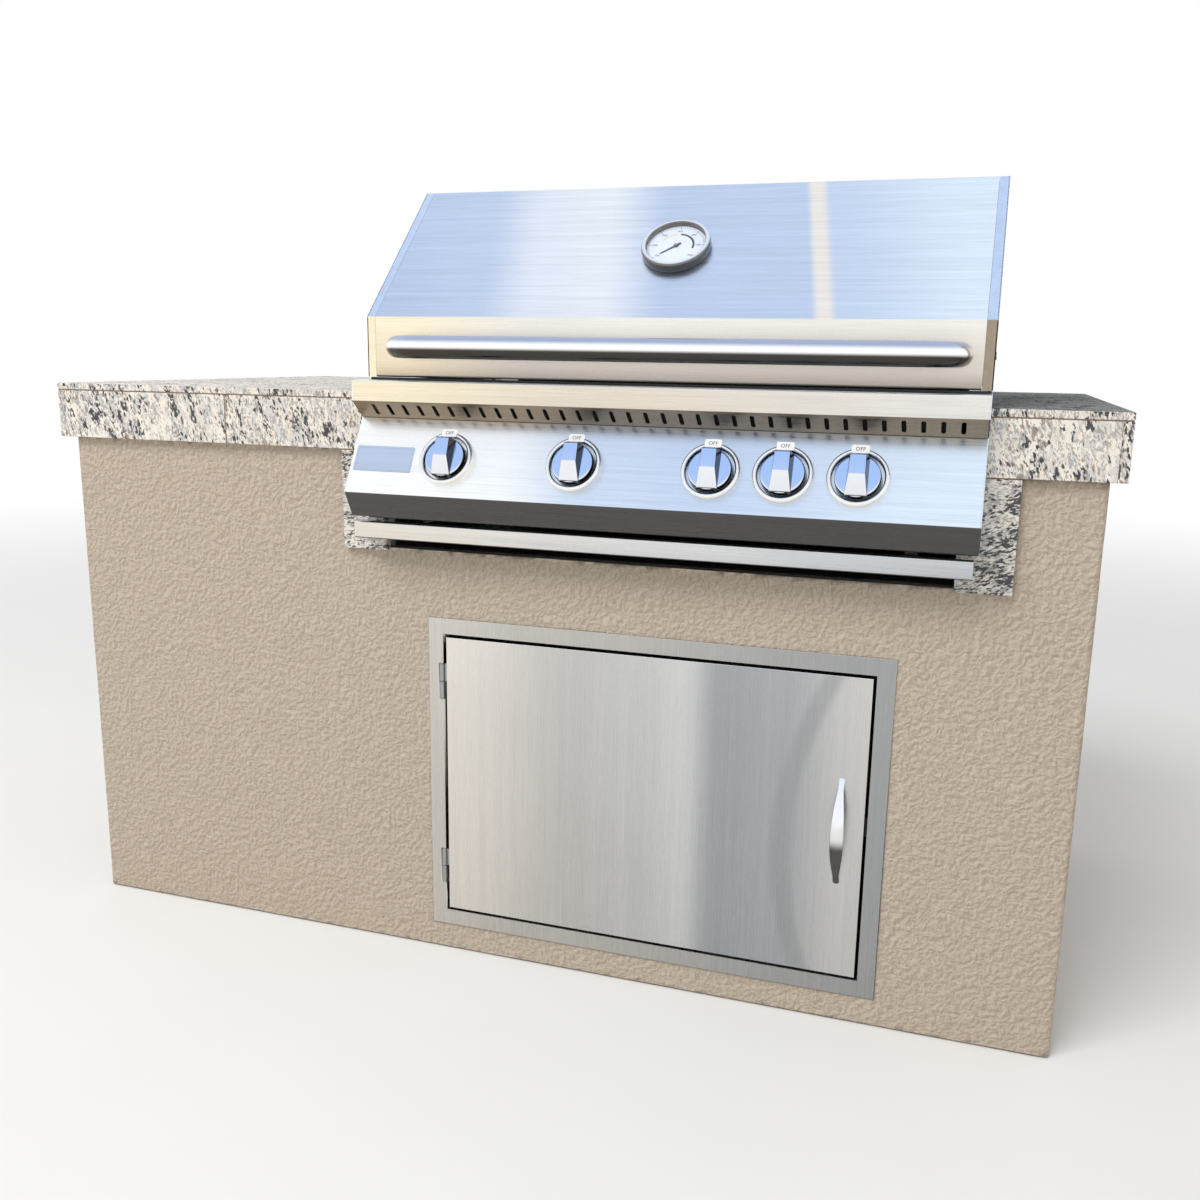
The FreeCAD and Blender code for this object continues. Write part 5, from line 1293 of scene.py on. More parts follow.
class ISLAND_OT_stucco(Operator):
    """Lays the stucco, its trowelled faces slightly uneven"""

    bl_idname = "island.stucco"
    bl_label = "Stucco"

    def execute(self, context):
        walls = context.scene.island_walls
        coat = copied("stucco_walls", "stucco_coat", "stucco")
        middle = sum(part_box("stucco_coat"), Vector()) / 2
        with edited(coat.data) as work:
            bmesh.ops.triangulate(work, faces=work.faces)
            while long := [e for e in work.edges if e.calc_length() > walls.net]:
                bmesh.ops.subdivide_edges(work, edges=long, cuts=1)
                bmesh.ops.triangulate(work, faces=[f for f in work.faces if len(f.verts) > 3])
            work.normal_update()
            for vert in work.verts:
                away = vert.co - middle
                away.z = 0
                level = Vector((vert.normal.x, vert.normal.y, 0))
                if level.length > 0.6 and level.dot(away) > 0:
                    wander = noise(vert.co * 9.0) + 0.5 * noise(vert.co * 34.0)
                    wander *= walls.unevenness
                    vert.co += level.normalized() * (wander - walls.unevenness * 0.4)
        smooth(coat, 50)
        settled(coat, "island", "stucco", "stucco_coat")
        return {"FINISHED"}


class ISLAND_OT_wall_vents(Operator):
    """Makes the louvred air vents of both end walls, with their screws"""

    bl_idname = "island.wall_vents"
    bl_label = "Air vents"

    def execute(self, context):
        walls = context.scene.island_walls
        low, high = [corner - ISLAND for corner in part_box("wall_vents")]
        y0, y1, z0, z1 = [v / MM for v in (low.y, high.y, low.z, high.z)]
        rim, = millimetres(walls, "vent_rim")
        pitch = (z1 - z0 - 2 * rim) / walls.louvres
        thick = 1.5
        reach = high.x / MM - 5
        fold = rounded([(1.4, 0), (1.4, -pitch * 0.35), (5, -pitch * 0.62), (5, -pitch * 0.9)], 4)
        blade, faces = sheet(fold, -1.2, y0 + rim - 0.5, y1 - rim + 0.5)
        sides = []
        for turn in (-1, 1):
            shape = Shape()
            xs = sorted((turn * reach, turn * (reach + thick)))
            for part in ((y0, y1, z0, z0 + rim), (y0, y1, z1 - rim, z1),
                         (y0, y0 + rim, z0 + rim, z1 - rim), (y1 - rim, y1, z0 + rim, z1 - rim)):
                shape.take(box(*xs, *part))
            for i in range(walls.louvres):
                z = z0 + rim + (i + 1) * pitch
                shape.take(([(turn * (reach + u), w, z + v) for w, u, v in blade], faces))
            corners = [ISLAND + Vector((turn * (reach + thick), y, z)) * MM
                       for y in (y0 + rim / 2, y1 - rim / 2) for z in (z0 + rim / 2, z1 - rim / 2)]
            sides += [made("vent", shape, "plain_sheet", ISLAND, 0.3),
                      grown("screws", "Screw heads", "screws", corners, Radius=0.0032,
                            Height=0.0017, Turn=(0, turn * math.pi / 2, 0), Seed=3 + turn)]
        settled(joined("air_vents", *sides), "island", "louvre", "wall_vents")
        return {"FINISHED"}


# Stone

# The cut-out for the grill, in millimetres
CUT_HALF = 415.7
CUT_LEFT = GRILL_X / MM - CUT_HALF
CUT_RIGHT = GRILL_X / MM + CUT_HALF
CUT_BACK = 530.0


def joints_between(start, stop, stone):
    """The joints of the tiles that are laid between two ends."""
    spans = runs(start, stop, *millimetres(stone, "tile", "joint"))
    return [(a[1], b[0]) for a, b in zip(spans, spans[1:])]


def grout_shape(stone):
    """The mortar of every joint, a little behind the stone's face."""
    joint, back = millimetres(stone, "joint", "joint_depth")
    low, high = extent("top_tiles", ISLAND)
    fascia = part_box("fascia_tiles")
    z_low, z_high, z_top = fascia[0].z / MM, fascia[1].z / MM, high.z - back
    x0, x1, y0, y1 = low.x + back, high.x - back, low.y + back, high.y - back
    depth = 10
    shape = Shape()
    rows = joints_between(low.y, high.y, stone)
    for left, right in ((low.x, CUT_LEFT), (CUT_RIGHT, high.x)):
        for a, b in rows:
            shape.take(box(max(left, x0), min(right, x1), a, b, low.z, z_top))
        for a, b in joints_between(left, right, stone):
            shape.take(box(a, b, y0, y1, low.z, z_top))
        shape.take(box(max(left, x0), min(right, x1), y0, y0 + depth, z_high, low.z))
    for a, b in ((CUT_LEFT, CUT_LEFT + joint),
                 *joints_between(CUT_LEFT + joint, CUT_RIGHT - joint, stone),
                 (CUT_RIGHT - joint, CUT_RIGHT)):
        shape.take(box(a, b, CUT_BACK, y1, low.z, z_top))
    for a, b in joints_between(CUT_BACK, high.y, stone):
        shape.take(box(CUT_LEFT, CUT_RIGHT, a, b, low.z, z_top))
    shape.take(box(x0, x1, y1 - depth, y1, z_high, low.z))
    half = high.x - 11
    for turn in (-1, 1):
        xs = sorted((turn * (high.x - back), turn * (high.x - back - depth)))
        shape.take(box(*xs, y0 + depth, y1 - depth, z_high, low.z))
        for a, b in rows:
            shape.take(box(*xs, a, b, z_low, z_high))
        corner = sorted((turn * half, turn * (half - joint)))
        near, far = y0 - back + 0.3, y1 + back - 0.3
        shape.take(box(*corner, near, near + depth, z_low, z_high), 1)
        shape.take(box(*corner, far - depth, far, z_low, z_high), 1)
    for start, stop, y in ((-half + joint, CUT_LEFT, y0), (CUT_RIGHT, half - joint, y0),
                           (-half + joint, half - joint, y1 - depth)):
        for a, b in joints_between(start, stop, stone):
            shape.take(box(a, b, y, y + depth, z_low, z_high))
    strip = extent("side_strips", ISLAND)[0]
    wide = CUT_LEFT - strip.x
    for a in (strip.x, CUT_RIGHT):
        shape.take(box(a, a + wide, strip.y + back, 0, z_low - joint, z_low))
    return shape


def shuffle(tiles):
    """Gives every tile of a piece its own place in the stone's pattern."""
    seed_set(3)
    with edited(tiles.data) as work:
        places = work.verts.layers.float_vector.new("tile")
        left = set(work.verts)
        while left:
            first = min(left, key=lambda v: v.index)
            tile, front = {first}, [first]
            while front:
                near = [e.other_vert(v) for v in front for e in v.link_edges]
                front = [v for v in dict.fromkeys(near) if v not in tile]
                tile.update(front)
            left -= tile
            tile = sorted(tile, key=lambda v: v.index)
            middle = sum((v.co for v in tile), Vector()) / len(tile)
            for vert in tile:
                vert[places] = noise_vector(middle * 37.0) * 2.0


class ISLAND_OT_stone(Operator):
    """Lays the granite tiles and strips and fills their joints"""

    bl_idname = "island.stone"
    bl_label = "Granite and joints"

    def execute(self, context):
        stone = context.scene.island_stone
        edge, = millimetres(stone, "edge")
        for name, node, side in (("counter_tiles", "top_tiles", "edge_stone"),
                                 ("edge_tiles", "fascia_tiles", "edge_stone"),
                                 ("wall_strips", "side_strips", "strip_stone")):
            tiles = copied(name, node, side + " top_stone shaded_stone")
            # Top faces take the granite with painted shade; those right of the grill also take its
            # painted dark reflection seen edge-on
            for face in tiles.data.polygons:
                if face.normal.z > 0.9 and node == "top_tiles":
                    face.material_index = 2 if face.center.x > CUT_RIGHT * MM else 1
            eased(tiles, edge, 3)
            shuffle(tiles)
            settled(tiles, "island", "granite", node)
        piece("joints", grout_shape(stone), "grout edge_stone", "island", "granite",
              origin=ISLAND)
        return {"FINISHED"}


# Access door

class ISLAND_OT_door_frame(Operator):
    """Finishes the door's frame and its catch"""

    bl_idname = "island.door_frame"
    bl_label = "Door frame"

    def execute(self, context):
        rim = copied("access_frame", "door_frame", "frame_sheet")
        settled(eased(rim, 1.0, front_only=True), "island", "brushed_steel", "door_frame")
        dress("catch", "door_catch")
        return {"FINISHED"}


class ISLAND_OT_hinges(Operator):
    """Makes both hinges: the frame's barrels and leaves, and the door's capped barrels and leaves
    """

    bl_idname = "island.hinges"
    bl_label = "Door hinges"

    def execute(self, context):
        thick, = millimetres(context.scene.island_steel, "sheet")
        low, high = extent("frame_hinges")
        edge = extent("door_skin")[0].x
        radius, barrel, gap, y = 4.0, 28.0, 0.5, -0.5
        x = edge - 4.5 - radius
        round_bar = lathe([(0, 0), (radius - 0.7, 0), (radius, 0.7), (radius, barrel - 0.7),
                           (radius - 0.7, barrel), (0, barrel)], 32)
        cap = lathe([(0, 0), (2.9, 0), (2.6, 0.7), (1.6, 1.2), (0, 1.4)], 24)
        fixed, moving = Shape(), Shape()
        for z in (low.z, high.z - 2 * barrel - gap):
            top = z + barrel + gap
            fixed.take(round_bar, place=Matrix.Translation((x, y, z)))
            fixed.take(box(x + radius - 3.0, x + radius - 1.5, y, 30, z, z + barrel))
            moving.take(round_bar, place=Matrix.Translation((x, y, top)))
            moving.take(cap, place=Matrix.Translation((x, y, top + barrel)))
            moving.take(box(x, edge, y + 1, y + 1 + thick, top, top + barrel))
            moving.take(box(edge - thick, edge, y + 1, 15, top, top + barrel))
        piece("hinge_lower_halves", fixed, "zinc", "island", "zinc_steel", "frame_hinges")
        piece("hinge_upper_halves", moving, "zinc", "door", "zinc_steel", "door_hinges")
        return {"FINISHED"}


class ISLAND_OT_door(Operator):
    """Makes the door's folded sheet and finishes its back"""

    bl_idname = "island.door"
    bl_label = "Access door"

    def execute(self, context):
        face = copied("access_door", "door_skin", "door_sheet", sharp=50)
        settled(eased(face, 1.2, front_only=True), "door", "brushed_steel", "door_skin")
        dress("lining", "door_liner")
        return {"FINISHED"}


class ISLAND_OT_pull(Operator):
    """Shapes the bow pull: a crescent from the side, a lens from the front"""

    bl_idname = "island.pull"
    bl_label = "Bow pull"

    def execute(self, context):
        long, rise, wide, narrow, neck, foot, crown, inset = millimetres(
            context.scene.island_door, "pull_length", "pull_rise", "pull_middle", "pull_end",
            "pull_neck", "pull_foot", "pull_crown", "pull_inset")
        low, high = extent("door_skin")
        x, z_middle, face = high.x - inset, (low.z + high.z) / 2 - 3, -3.0
        steps, sides, square = 40, 28, 0.72
        outer = arc((face, -long / 2), (face - rise, 0), (face, long / 2), steps)
        inner = arc((face, foot - long / 2), (face - rise + crown, 0), (face, long / 2 - foot),
                    steps)
        rings = []
        for out, back in zip(outer, inner):
            middle, reach = (out + back) / 2, (out - back) / 2
            along_bow = abs(middle.y) / (long / 2)
            swell = max(0.0, 1 - (along_bow / 0.8) ** 2) ** 1.2
            flare = max(0.0, (along_bow - 0.78) / 0.22) ** 2
            half = (neck + (wide - neck) * swell + (narrow - neck) * flare) / 2
            ring = []
            for turn in (2 * math.pi * k / sides for k in range(sides)):
                a, b = [math.copysign(abs(f) ** square, f)
                        for f in (math.cos(turn), math.sin(turn))]
                y, z = middle + reach * b
                ring.append((x + half * a, min(y, face), z_middle + z))
            rings.append(ring)
        piece("bow_pull", skin(rings), "pull", "door", "polished_steel", "door_pull", sharp=60)
        return {"FINISHED"}




# Grill: firebox, burners and grates

INNER_HALF = 406.2
TURNED_TO_Y = Matrix.Rotation(-math.pi / 2, 4, "X")


class ISLAND_OT_firebox(Operator):
    """Finishes the firebox and makes its side and back sheets"""

    bl_idname = "island.firebox"
    bl_label = "Firebox"

    def execute(self, context):
        for name, node in (("firebox_walls", "firebox_sides"), ("firebox_rear", "firebox_back")):
            wall = copied(name, node, "side_sheet", 0.4)
            settled(wall, "island", "brushed_steel", node)
        # The tray rails take the dark sheet as painted shade
        dress("dark_sheet", "firebox_front", "grate_ledges", "hood_liner", "tray_rails")
        dress("zinc", "gas_manifold", *[f"stem_{i}" for i in range(1, 6)])
        dress("spring", *[f"thrust_washer_{i}" for i in range(1, 6)])
        dress("valve", "gas_valves")
        return {"FINISHED"}


class ISLAND_OT_burners(Operator):
    """Makes the four tube burners with their ports, the flame tamers and the rear burner"""

    bl_idname = "island.burners"
    bl_label = "Burners and flame tamers"

    def execute(self, context):
        grill, controls = context.scene.island_grill, context.scene.island_controls
        radius, = millimetres(grill, "burner_radius")
        spacing, = millimetres(controls, "knob_spacing")
        start, end, z = 4.5, 486.0, 800.0
        tubes, roofs = Shape(), Shape()
        parts = []
        outline = [(0, 40), (radius - 1.2, 40), (radius - 1.2, 0), (radius, 0),
                   (radius, end - start - 3), (radius - 1.2, end - start - 0.8),
                   (radius - 4, end - start), (0, end - start)]
        for i in range(4):
            x = (i - 1.5) * spacing
            tubes.take(lathe(outline, 40), place=Matrix.Translation((x, start, z)) @ TURNED_TO_Y)
            for turn in (-1, 1):
                tilt = turn * math.radians(50)
                spot = Vector((x + radius * math.sin(tilt), 70, z + radius * math.cos(tilt)))
                # Near-black discs stand in for the flame ports: painted shade where the port holes
                # are
                parts.append(grown("ports", "Rod row", "port", Count=grill.ports,
                                   Start=GRILL + spot * MM, Step=(0, 0.0105, 0),
                                   Turn=(0, tilt, 0), Radius=grill.port_radius, Length=0.0005,
                                   Sides=10))
            line = rounded([(x - 55, 844), (x - 47, 844), (x, 867), (x + 47, 844),
                            (x + 55, 844)], 5)
            roofs.take(sheet(line, -1.2, 18.5, 498.0, "y"))
        body = made("tubes", tubes, "burner")
        settled(joined("tube_burners", body, *parts), "island", "burner_steel", "main_burners")
        piece("flame_roofs", roofs, "dark_sheet", "island", "dark_steel", "flame_tamers")
        self.rear()
        return {"FINISHED"}

    def rear(self):
        """The rear burner: a housing, its ceramic face and the guard wires."""
        back = copied("rear", "rear_burner", "burner", 0.8)
        tile = made("tile", box(-251, 251, 476.5, 478.5, 969, 1027), "ceramic", ease=0.4)
        guard = grown("guard", "Rod row", "rods", Count=62, Turn=(0, 0, 0), Sides=8,
                      Start=GRILL + Vector((-244, 473.4, 998)) * MM, Step=(0.008, 0, 0),
                      Radius=0.0008, Length=0.06)
        settled(joined("rear_heater", back, tile, guard), "island", "rear_burner_face",
                "rear_burner")


def rods(finish, number, start, step, turn, radius, long, sides=18):
    """A row of rods, its places given in the grill's millimetres."""
    return grown("rods", "Rod row", finish, Count=number, Start=GRILL + Vector(start) * MM,
                 Step=Vector(step) * MM, Turn=turn, Radius=radius * MM, Length=long * MM,
                 Sides=sides)


ACROSS, BACKWARD, UPRIGHT = (0, math.pi / 2, 0), (math.pi / 2, 0, 0), (0, 0, 0)


class ISLAND_OT_grates(Operator):
    """Makes the cooking grates and the warming rack from round rods"""

    bl_idname = "island.grates"
    bl_label = "Grates and rack"

    def execute(self, context):
        grill = context.scene.island_grill
        radius, = millimetres(grill, "rod_radius")
        front, back, top = 18.0, 498.0, 896.0
        width = 2 * INNER_HALF / grill.grates
        step = (width - 4 - 3 * radius) / (grill.rods - 1)
        parts = []
        for i in range(grill.grates):
            left = -INNER_HALF + i * width + 2
            parts.append(rods("burner", grill.rods,
                              (left + 1.5 * radius, (front + back) / 2, top - radius),
                              (step, 0, 0), BACKWARD, radius, back - front))
            middle = left + width / 2 - 2
            parts.append(rods("burner", 3, (middle, front + 2 * radius, top - 3 * radius),
                              (0, (back - front) / 2 - 2 * radius, 0), ACROSS, radius,
                              width - 4))
        grate = eased(joined("grate_rods", *parts), 1.0)
        settled(grate, "island", "burner_steel", "cooking_grates")
        bar, z, y0, y1 = 3.0, 1000.0, 300.0, 440.0
        half = INNER_HALF - 2 - 1.5 * radius - step
        parts = [rods("rods", grill.rack_rods, (0, y0, z),
                      (0, (y1 - y0) / (grill.rack_rods - 1), 0), ACROSS, bar, 2 * (half + bar)),
                 rods("rods", 3, (-half, (y0 + y1) / 2, z - 2 * bar), (half, 0, 0), BACKWARD,
                      bar, y1 - y0 + 2 * bar)]
        for x in (-half, half):
            parts.append(rods("rods", 2, (x, y0, (z - 3 * bar + top) / 2), (0, y1 - y0, 0),
                              UPRIGHT, bar, z - 3 * bar - top))
        shelf = eased(joined("warming_shelf", *parts), 0.8)
        settled(shelf, "island", "polished_steel", "warming_rack")
        return {"FINISHED"}


# Control head

END_PLATE = 1.5
LEDGE = [(13.0, 891.0), (13.0, 908.4), (-51.7, 908.4), (-51.7, 878.5), PANEL_TOP]


class ISLAND_OT_ledge(Operator):
    """Folds the ledge and its vent panel and pierces the row of slots"""

    bl_idname = "island.ledge"
    bl_label = "Ledge and vent slots"

    def execute(self, context):
        steel, controls = context.scene.island_steel, context.scene.island_controls
        thick, bend = millimetres(steel, "sheet", "bend")
        half = GRILL_HALF - END_PLATE
        shape = Shape().take(sheet(rounded(LEDGE, bend), thick, -half, half))
        shape.take(box(-CUT_HALF, CUT_HALF, 13 - thick, 13, 878.5, 891.4))
        ledge = made("ledge", shape, "ledge_sheet")
        low, high = Vector(LEDGE[3]), Vector(LEDGE[4])
        middle, run = (low + high) / 2, high - low
        first = -(controls.slots - 1) / 2 * controls.slot_pitch
        cutters = grown("slots", "Slot row", "ledge_sheet", Count=controls.slots,
                        Start=GRILL + Vector((first / MM, middle.x, middle.y)) * MM,
                        Step=(controls.slot_pitch, 0, 0), Turn=(math.atan2(run.y, run.x), 0, 0),
                        Width=controls.slot_width, Length=controls.slot_length, Depth=0.012)
        cut_by(ledge, cutters)
        settled(ledge, "island", "bright_steel", "front_ledge")
        # A near-black strip filling the gap under the hood: a dark piece as painted shade
        rest = box(-half, half, 3, 11, LEDGE[1][1], LEDGE[1][1] + 3.4)
        piece("hood_rest", rest, "catch", "island", "dark_steel", ease=0.6)
        return {"FINISHED"}


class ISLAND_OT_panel(Operator):
    """Folds the knob panel and makes its end plates"""

    bl_idname = "island.panel"
    bl_label = "Knob panel"

    def execute(self, context):
        steel, controls = context.scene.island_steel, context.scene.island_controls
        thick, bend = millimetres(steel, "sheet", "bend")
        spacing, down = millimetres(controls, "knob_spacing", "knob_down")
        half = GRILL_HALF - END_PLATE
        top = (PANEL_TOP[0] - 0.3 * PANEL_UP[0], PANEL_TOP[1] - 0.3 * PANEL_UP[1])
        path = [(-13.0, top[1]), top, PANEL_FOOT, UNDERSIDE, (-13.0, UNDERSIDE[1])]
        panel = made("panel", Shape().take(sheet(rounded(path, bend), thick, -half, half)),
                     "panel_sheet")
        holes = Shape()
        for k in KNOB_PLACES:
            holes.take(lathe([(0, -4), (6, -4), (6, 4), (0, 4)], 32),
                       place=on_panel(k * spacing, down))
        cut_by(panel, holes)
        settled(panel, "island", "bright_steel", "control_panel")
        outline = rounded([(-13, 710.7), UNDERSIDE, PANEL_FOOT, PANEL_TOP, (-51.7, 878.5),
                           (-51.7, 908.4), (13, 908.4), (13, 891), (-13, 891)], bend, closed=True)
        ends = Shape()
        for a, b in ((-GRILL_HALF, -half), (half, GRILL_HALF)):
            ends.take(extruded(outline, a, b))
        piece("end_plates", ends, "panel_sheet", "island", "brushed_steel", "panel_ends",
              ease=0.3)
        # A near-black baffle filling the gap above the tray strip: a dark piece as painted shade
        low = UNDERSIDE[1] - thick
        piece("lower_baffle", box(-half, half, -15.5, -13.0, 702.5, low), "catch", "island",
              "dark_steel", ease=0.3)
        return {"FINISHED"}


class ISLAND_OT_nameplate(Operator):
    """Makes the bare plate with its raised border"""

    bl_idname = "island.nameplate"
    bl_label = "Bare plate"

    def execute(self, context):
        wide, tall, rim = 93.0, 39.8, 1.1
        place = on_panel(5.5 - GRILL_HALF, 46.6)
        outline = rounded([(0, 0), (wide, 0), (wide, -tall), (0, -tall)], 1.5, closed=True)
        shape = Shape().take(extruded(outline, 0, 0.6, "z"), 0, place)
        for x0, x1, y0, y1 in ((2, wide - 2, -2 - rim, -2),
                               (2, wide - 2, -tall + 2, 2 + rim - tall),
                               (2, 2 + rim, 2 + rim - tall, -2 - rim),
                               (wide - 2 - rim, wide - 2, 2 + rim - tall, -2 - rim)):
            shape.take(box(x0, x1, y0, y1, 0.5, 0.8), 0, place)
        piece("bare_plate", shape, "plate", "island", "bright_steel", "nameplate")
        return {"FINISHED"}


def lettering(text, size, finish, place):
    """Flat printed characters, centred on a place."""
    curve = bpy.data.curves.new("print", "FONT")
    curve.body = text
    curve.size = size * MM
    curve.extrude = 0.05 * MM
    curve.resolution_u = 3
    curve.align_x, curve.align_y = "CENTER", "CENTER"
    holder = bpy.data.objects.new("print", curve)
    bpy.context.scene.collection.objects.link(holder)
    bpy.context.view_layer.update()
    depsgraph = bpy.context.evaluated_depsgraph_get()
    mesh = bpy.data.meshes.new_from_object(holder.evaluated_get(depsgraph), depsgraph=depsgraph)
    bpy.data.objects.remove(holder)
    mesh.transform(in_metres(place))
    return linked("print", mesh, finish)


class ISLAND_OT_bezels(Operator):
    """Turns the flared rings round the knobs, each with its white marker tab"""

    bl_idname = "island.bezels"
    bl_label = "Knob rings"

    def execute(self, context):
        controls = context.scene.island_controls
        spacing, down, knob, wide, tall = millimetres(
            controls, "knob_spacing", "knob_down", "knob_radius", "tab_width", "tab_height")
        bore = knob + 3.5
        ring = [(bore, 0), (bore, 8.5), (bore + 0.5, 10.6), (bore + 1.6, 12.1), (bore + 3.2, 12.6),
                (bore + 4.8, 12.1), (bore + 6, 10.7), (bore + 6.8, 8.6), (bore + 7.2, 6),
                (bore + 7.4, 3), (bore + 7.5, 0)]
        shape = Shape()
        prints = []
        tab = rounded([(-wide / 2, 0), (wide / 2, 0), (wide / 2, tall), (-wide / 2, tall)], 2.2,
                      closed=True)
        for k in KNOB_PLACES:
            place = on_panel(k * spacing, down)
            shape.take(lathe(ring, 72), 0, place)
            lifted = place @ Matrix.Translation((0, knob + 2, 0))
            shape.take(extruded(tab, 12.3, 13.3, "z"), 1, lifted)
            prints.append(lettering("OFF", 7.4, "ink", lifted @ Matrix.Translation(
                (0, tall / 2, 13.33))))
        rings = made("rings", shape, "bezel enamel", sharp=50)
        settled(joined("knob_rings", rings, *prints), "island", "polished_steel", "knob_bezels")
        return {"FINISHED"}


class ISLAND_OT_knobs(Operator):
    """Makes the five knobs: a round skirt with a raised grip across it"""

    bl_idname = "island.knobs"
    bl_label = "Knobs"

    def execute(self, context):
        controls = context.scene.island_controls
        spacing, down, r = millimetres(controls, "knob_spacing", "knob_down", "knob_radius")
        skirt = [(0, 5.5), (r - 1, 5.5), (r - 0.2, 6), (r, 7), (r - 0.6, 13.2), (r - 1.4, 14.5),
                 (r - 3, 15), (0, 15)]
        side = rounded([(2 - r, 7.5), (2 - r, 15.5), (-4, 30), (r - 8, 32.5), (r - 5.5, 29),
                        (r - 4, 7.5)], 3, 5, closed=True)
        points, faces = extruded(side, -14.5, 14.5)
        grip = [(x * (1 - 0.3 * max(0, z - 15) / 17), y, z) for x, y, z in points]
        for i, k in enumerate(KNOB_PLACES, 1):
            place = on_panel(k * spacing, down)
            body = made("body", Shape().take(lathe(skirt, 72), 0, place), "knob", sharp=50)
            bar = made("bar", Shape().take((grip, faces), 0, place), "knob", ease=1.3, sharp=50)
            settled(joined(f"burner_knob_{i}", body, bar), f"knob_{i}_turn", "polished_steel",
                    f"knob_{i}")
        return {"FINISHED"}


class ISLAND_OT_tray(Operator):
    """Folds the drip tray and its wide front strip"""

    bl_idname = "island.tray"
    bl_label = "Drip tray"

    def execute(self, context):
        thick, bend = millimetres(context.scene.island_steel, "sheet", "bend")
        half, front, back, low, top = 350.0, -38.0, 460.0, 678.0, 697.0
        strip = rounded([(front, 701.0), (-50.0, 701.0), (-50.0, 676.0), (front, 676.0),
                         (front, top)], bend)
        wide = GRILL_HALF - 5.8
        shape = Shape().take(sheet(strip, thick, -wide - 9, wide))
        pan = Shape().take(box(-half, half, front, back, low, low + thick))
        for y in (front, back - thick):
            pan.take(box(-half, half, y, y + thick, low + thick, top))
        for turn in (-1, 1):
            wall = sorted((turn * half, turn * (half - thick)))
            lip = sorted((turn * (half - thick), turn * (half + 14)))
            pan.take(box(*wall, front + thick, back - thick, low + thick, top))
            pan.take(box(*lip, 18.5, back, top - thick, top))
        parts = [made("strip", shape, "tray_strip"), made("pan", pan, "plain_sheet", ease=0.3)]
        settled(joined("grease_tray", *parts), "tray", "brushed_steel", "drip_tray")
        return {"FINISHED"}


# Hood

class ISLAND_OT_hood(Operator):
    """Folds the hood's sheet and makes its end caps and hinge brackets"""

    bl_idname = "island.hood"
    bl_label = "Hood"

    def execute(self, context):
        hood, steel = context.scene.island_hood, context.scene.island_steel
        band, bend = millimetres(hood, "band", "bend")
        thick = steel.sheet / MM
        half = GRILL_HALF - band - 0.3
        path = rounded([(HOOD_LINE[0][0] + 14, HOOD_LINE[0][1]), *HOOD_LINE], bend, 6)
        shell = made("shell", Shape().take(sheet(path, -thick, -half, half)), "hood_sheet")
        gauge_up, = millimetres(hood, "gauge_up")
        cut_by(shell, Shape().take(lathe([(0, -8), (4.5, -8), (4.5, 8), (0, 8)], 32),
                                   place=on_slope(gauge_up)))
        settled(shell, "hood", "bright_steel", "hood_shell")
        line = rounded(HOOD_LINE, bend, 6)
        pivot = Vector(HOOD_PIVOT)
        radius = HOOD_PIVOT[1] - HOOD_LINE[0][1]
        heel = [tuple(pivot + Matrix.Rotation(-math.radians(a), 2) @ Vector((radius, 0)))
                for a in range(0, 91, 6)]
        ends = Shape()
        for turn in (-1, 1):
            xs = sorted((turn * GRILL_HALF, turn * (GRILL_HALF - band)))
            ends.take(sheet(line, -thick, *xs))
            xs = sorted((turn * (GRILL_HALF - 0.05), turn * (GRILL_HALF - 1.5)))
            ends.take(extruded([*line, *heel], *xs))
        settled(made("hood_caps", ends, "hood_band"), "hood", "brushed_steel", "hood_ends")
        brackets = copied("hood_brackets", "hood_hinges", "zinc", 0.4)
        settled(brackets, "island", "zinc_steel", "hood_hinges")
        return {"FINISHED"}


class ISLAND_OT_handle(Operator):
    """Bends the hood's tubular handle"""

    bl_idname = "island.handle"
    bl_label = "Hood handle"

    def execute(self, context):
        radius, = millimetres(context.scene.island_hood, "handle_radius")
        left, right, out, z = -388.0, 401.0, -58.0, 956.4
        face = HOOD_LINE[0][0] + 0.6
        bend = face - out
        lean = bend * (1 - math.sqrt(0.5))
        flat = arc((left, face), (left + lean, out + lean), (left + bend, out), 16)
        flat += arc((right - bend, out), (right - lean, out + lean), (right, face), 16)
        bar = made("hood_bar", Shape().take(tube([(x, y, z) for x, y in flat], radius, 48)),
                   "handle")
        settled(bar, "hood", "polished_steel", "hood_handle")
        return {"FINISHED"}


def ring_part(inner, outer, start, sweep, low, high, steps=28):
    """A flat part of a ring about Z, its angles in degrees from straight up, to the right."""
    outline = []
    for radius, order in ((outer, range(steps + 1)), (inner, range(steps, -1, -1))):
        for k in order:
            turn = math.radians(start + sweep * k / steps)
            outline.append((radius * math.sin(turn), radius * math.cos(turn)))
    points = [(x, y, z) for z in (low, high) for x, y in outline]
    n = len(outline)
    faces = []
    for i in range(n):
        faces.append((i, (i + 1) % n, n + (i + 1) % n, n + i))
    for i in range(n // 2 - 1):
        quad = (i, i + 1, n - 2 - i, n - 1 - i)
        faces += [quad, tuple(n + v for v in quad)]
    return points, faces


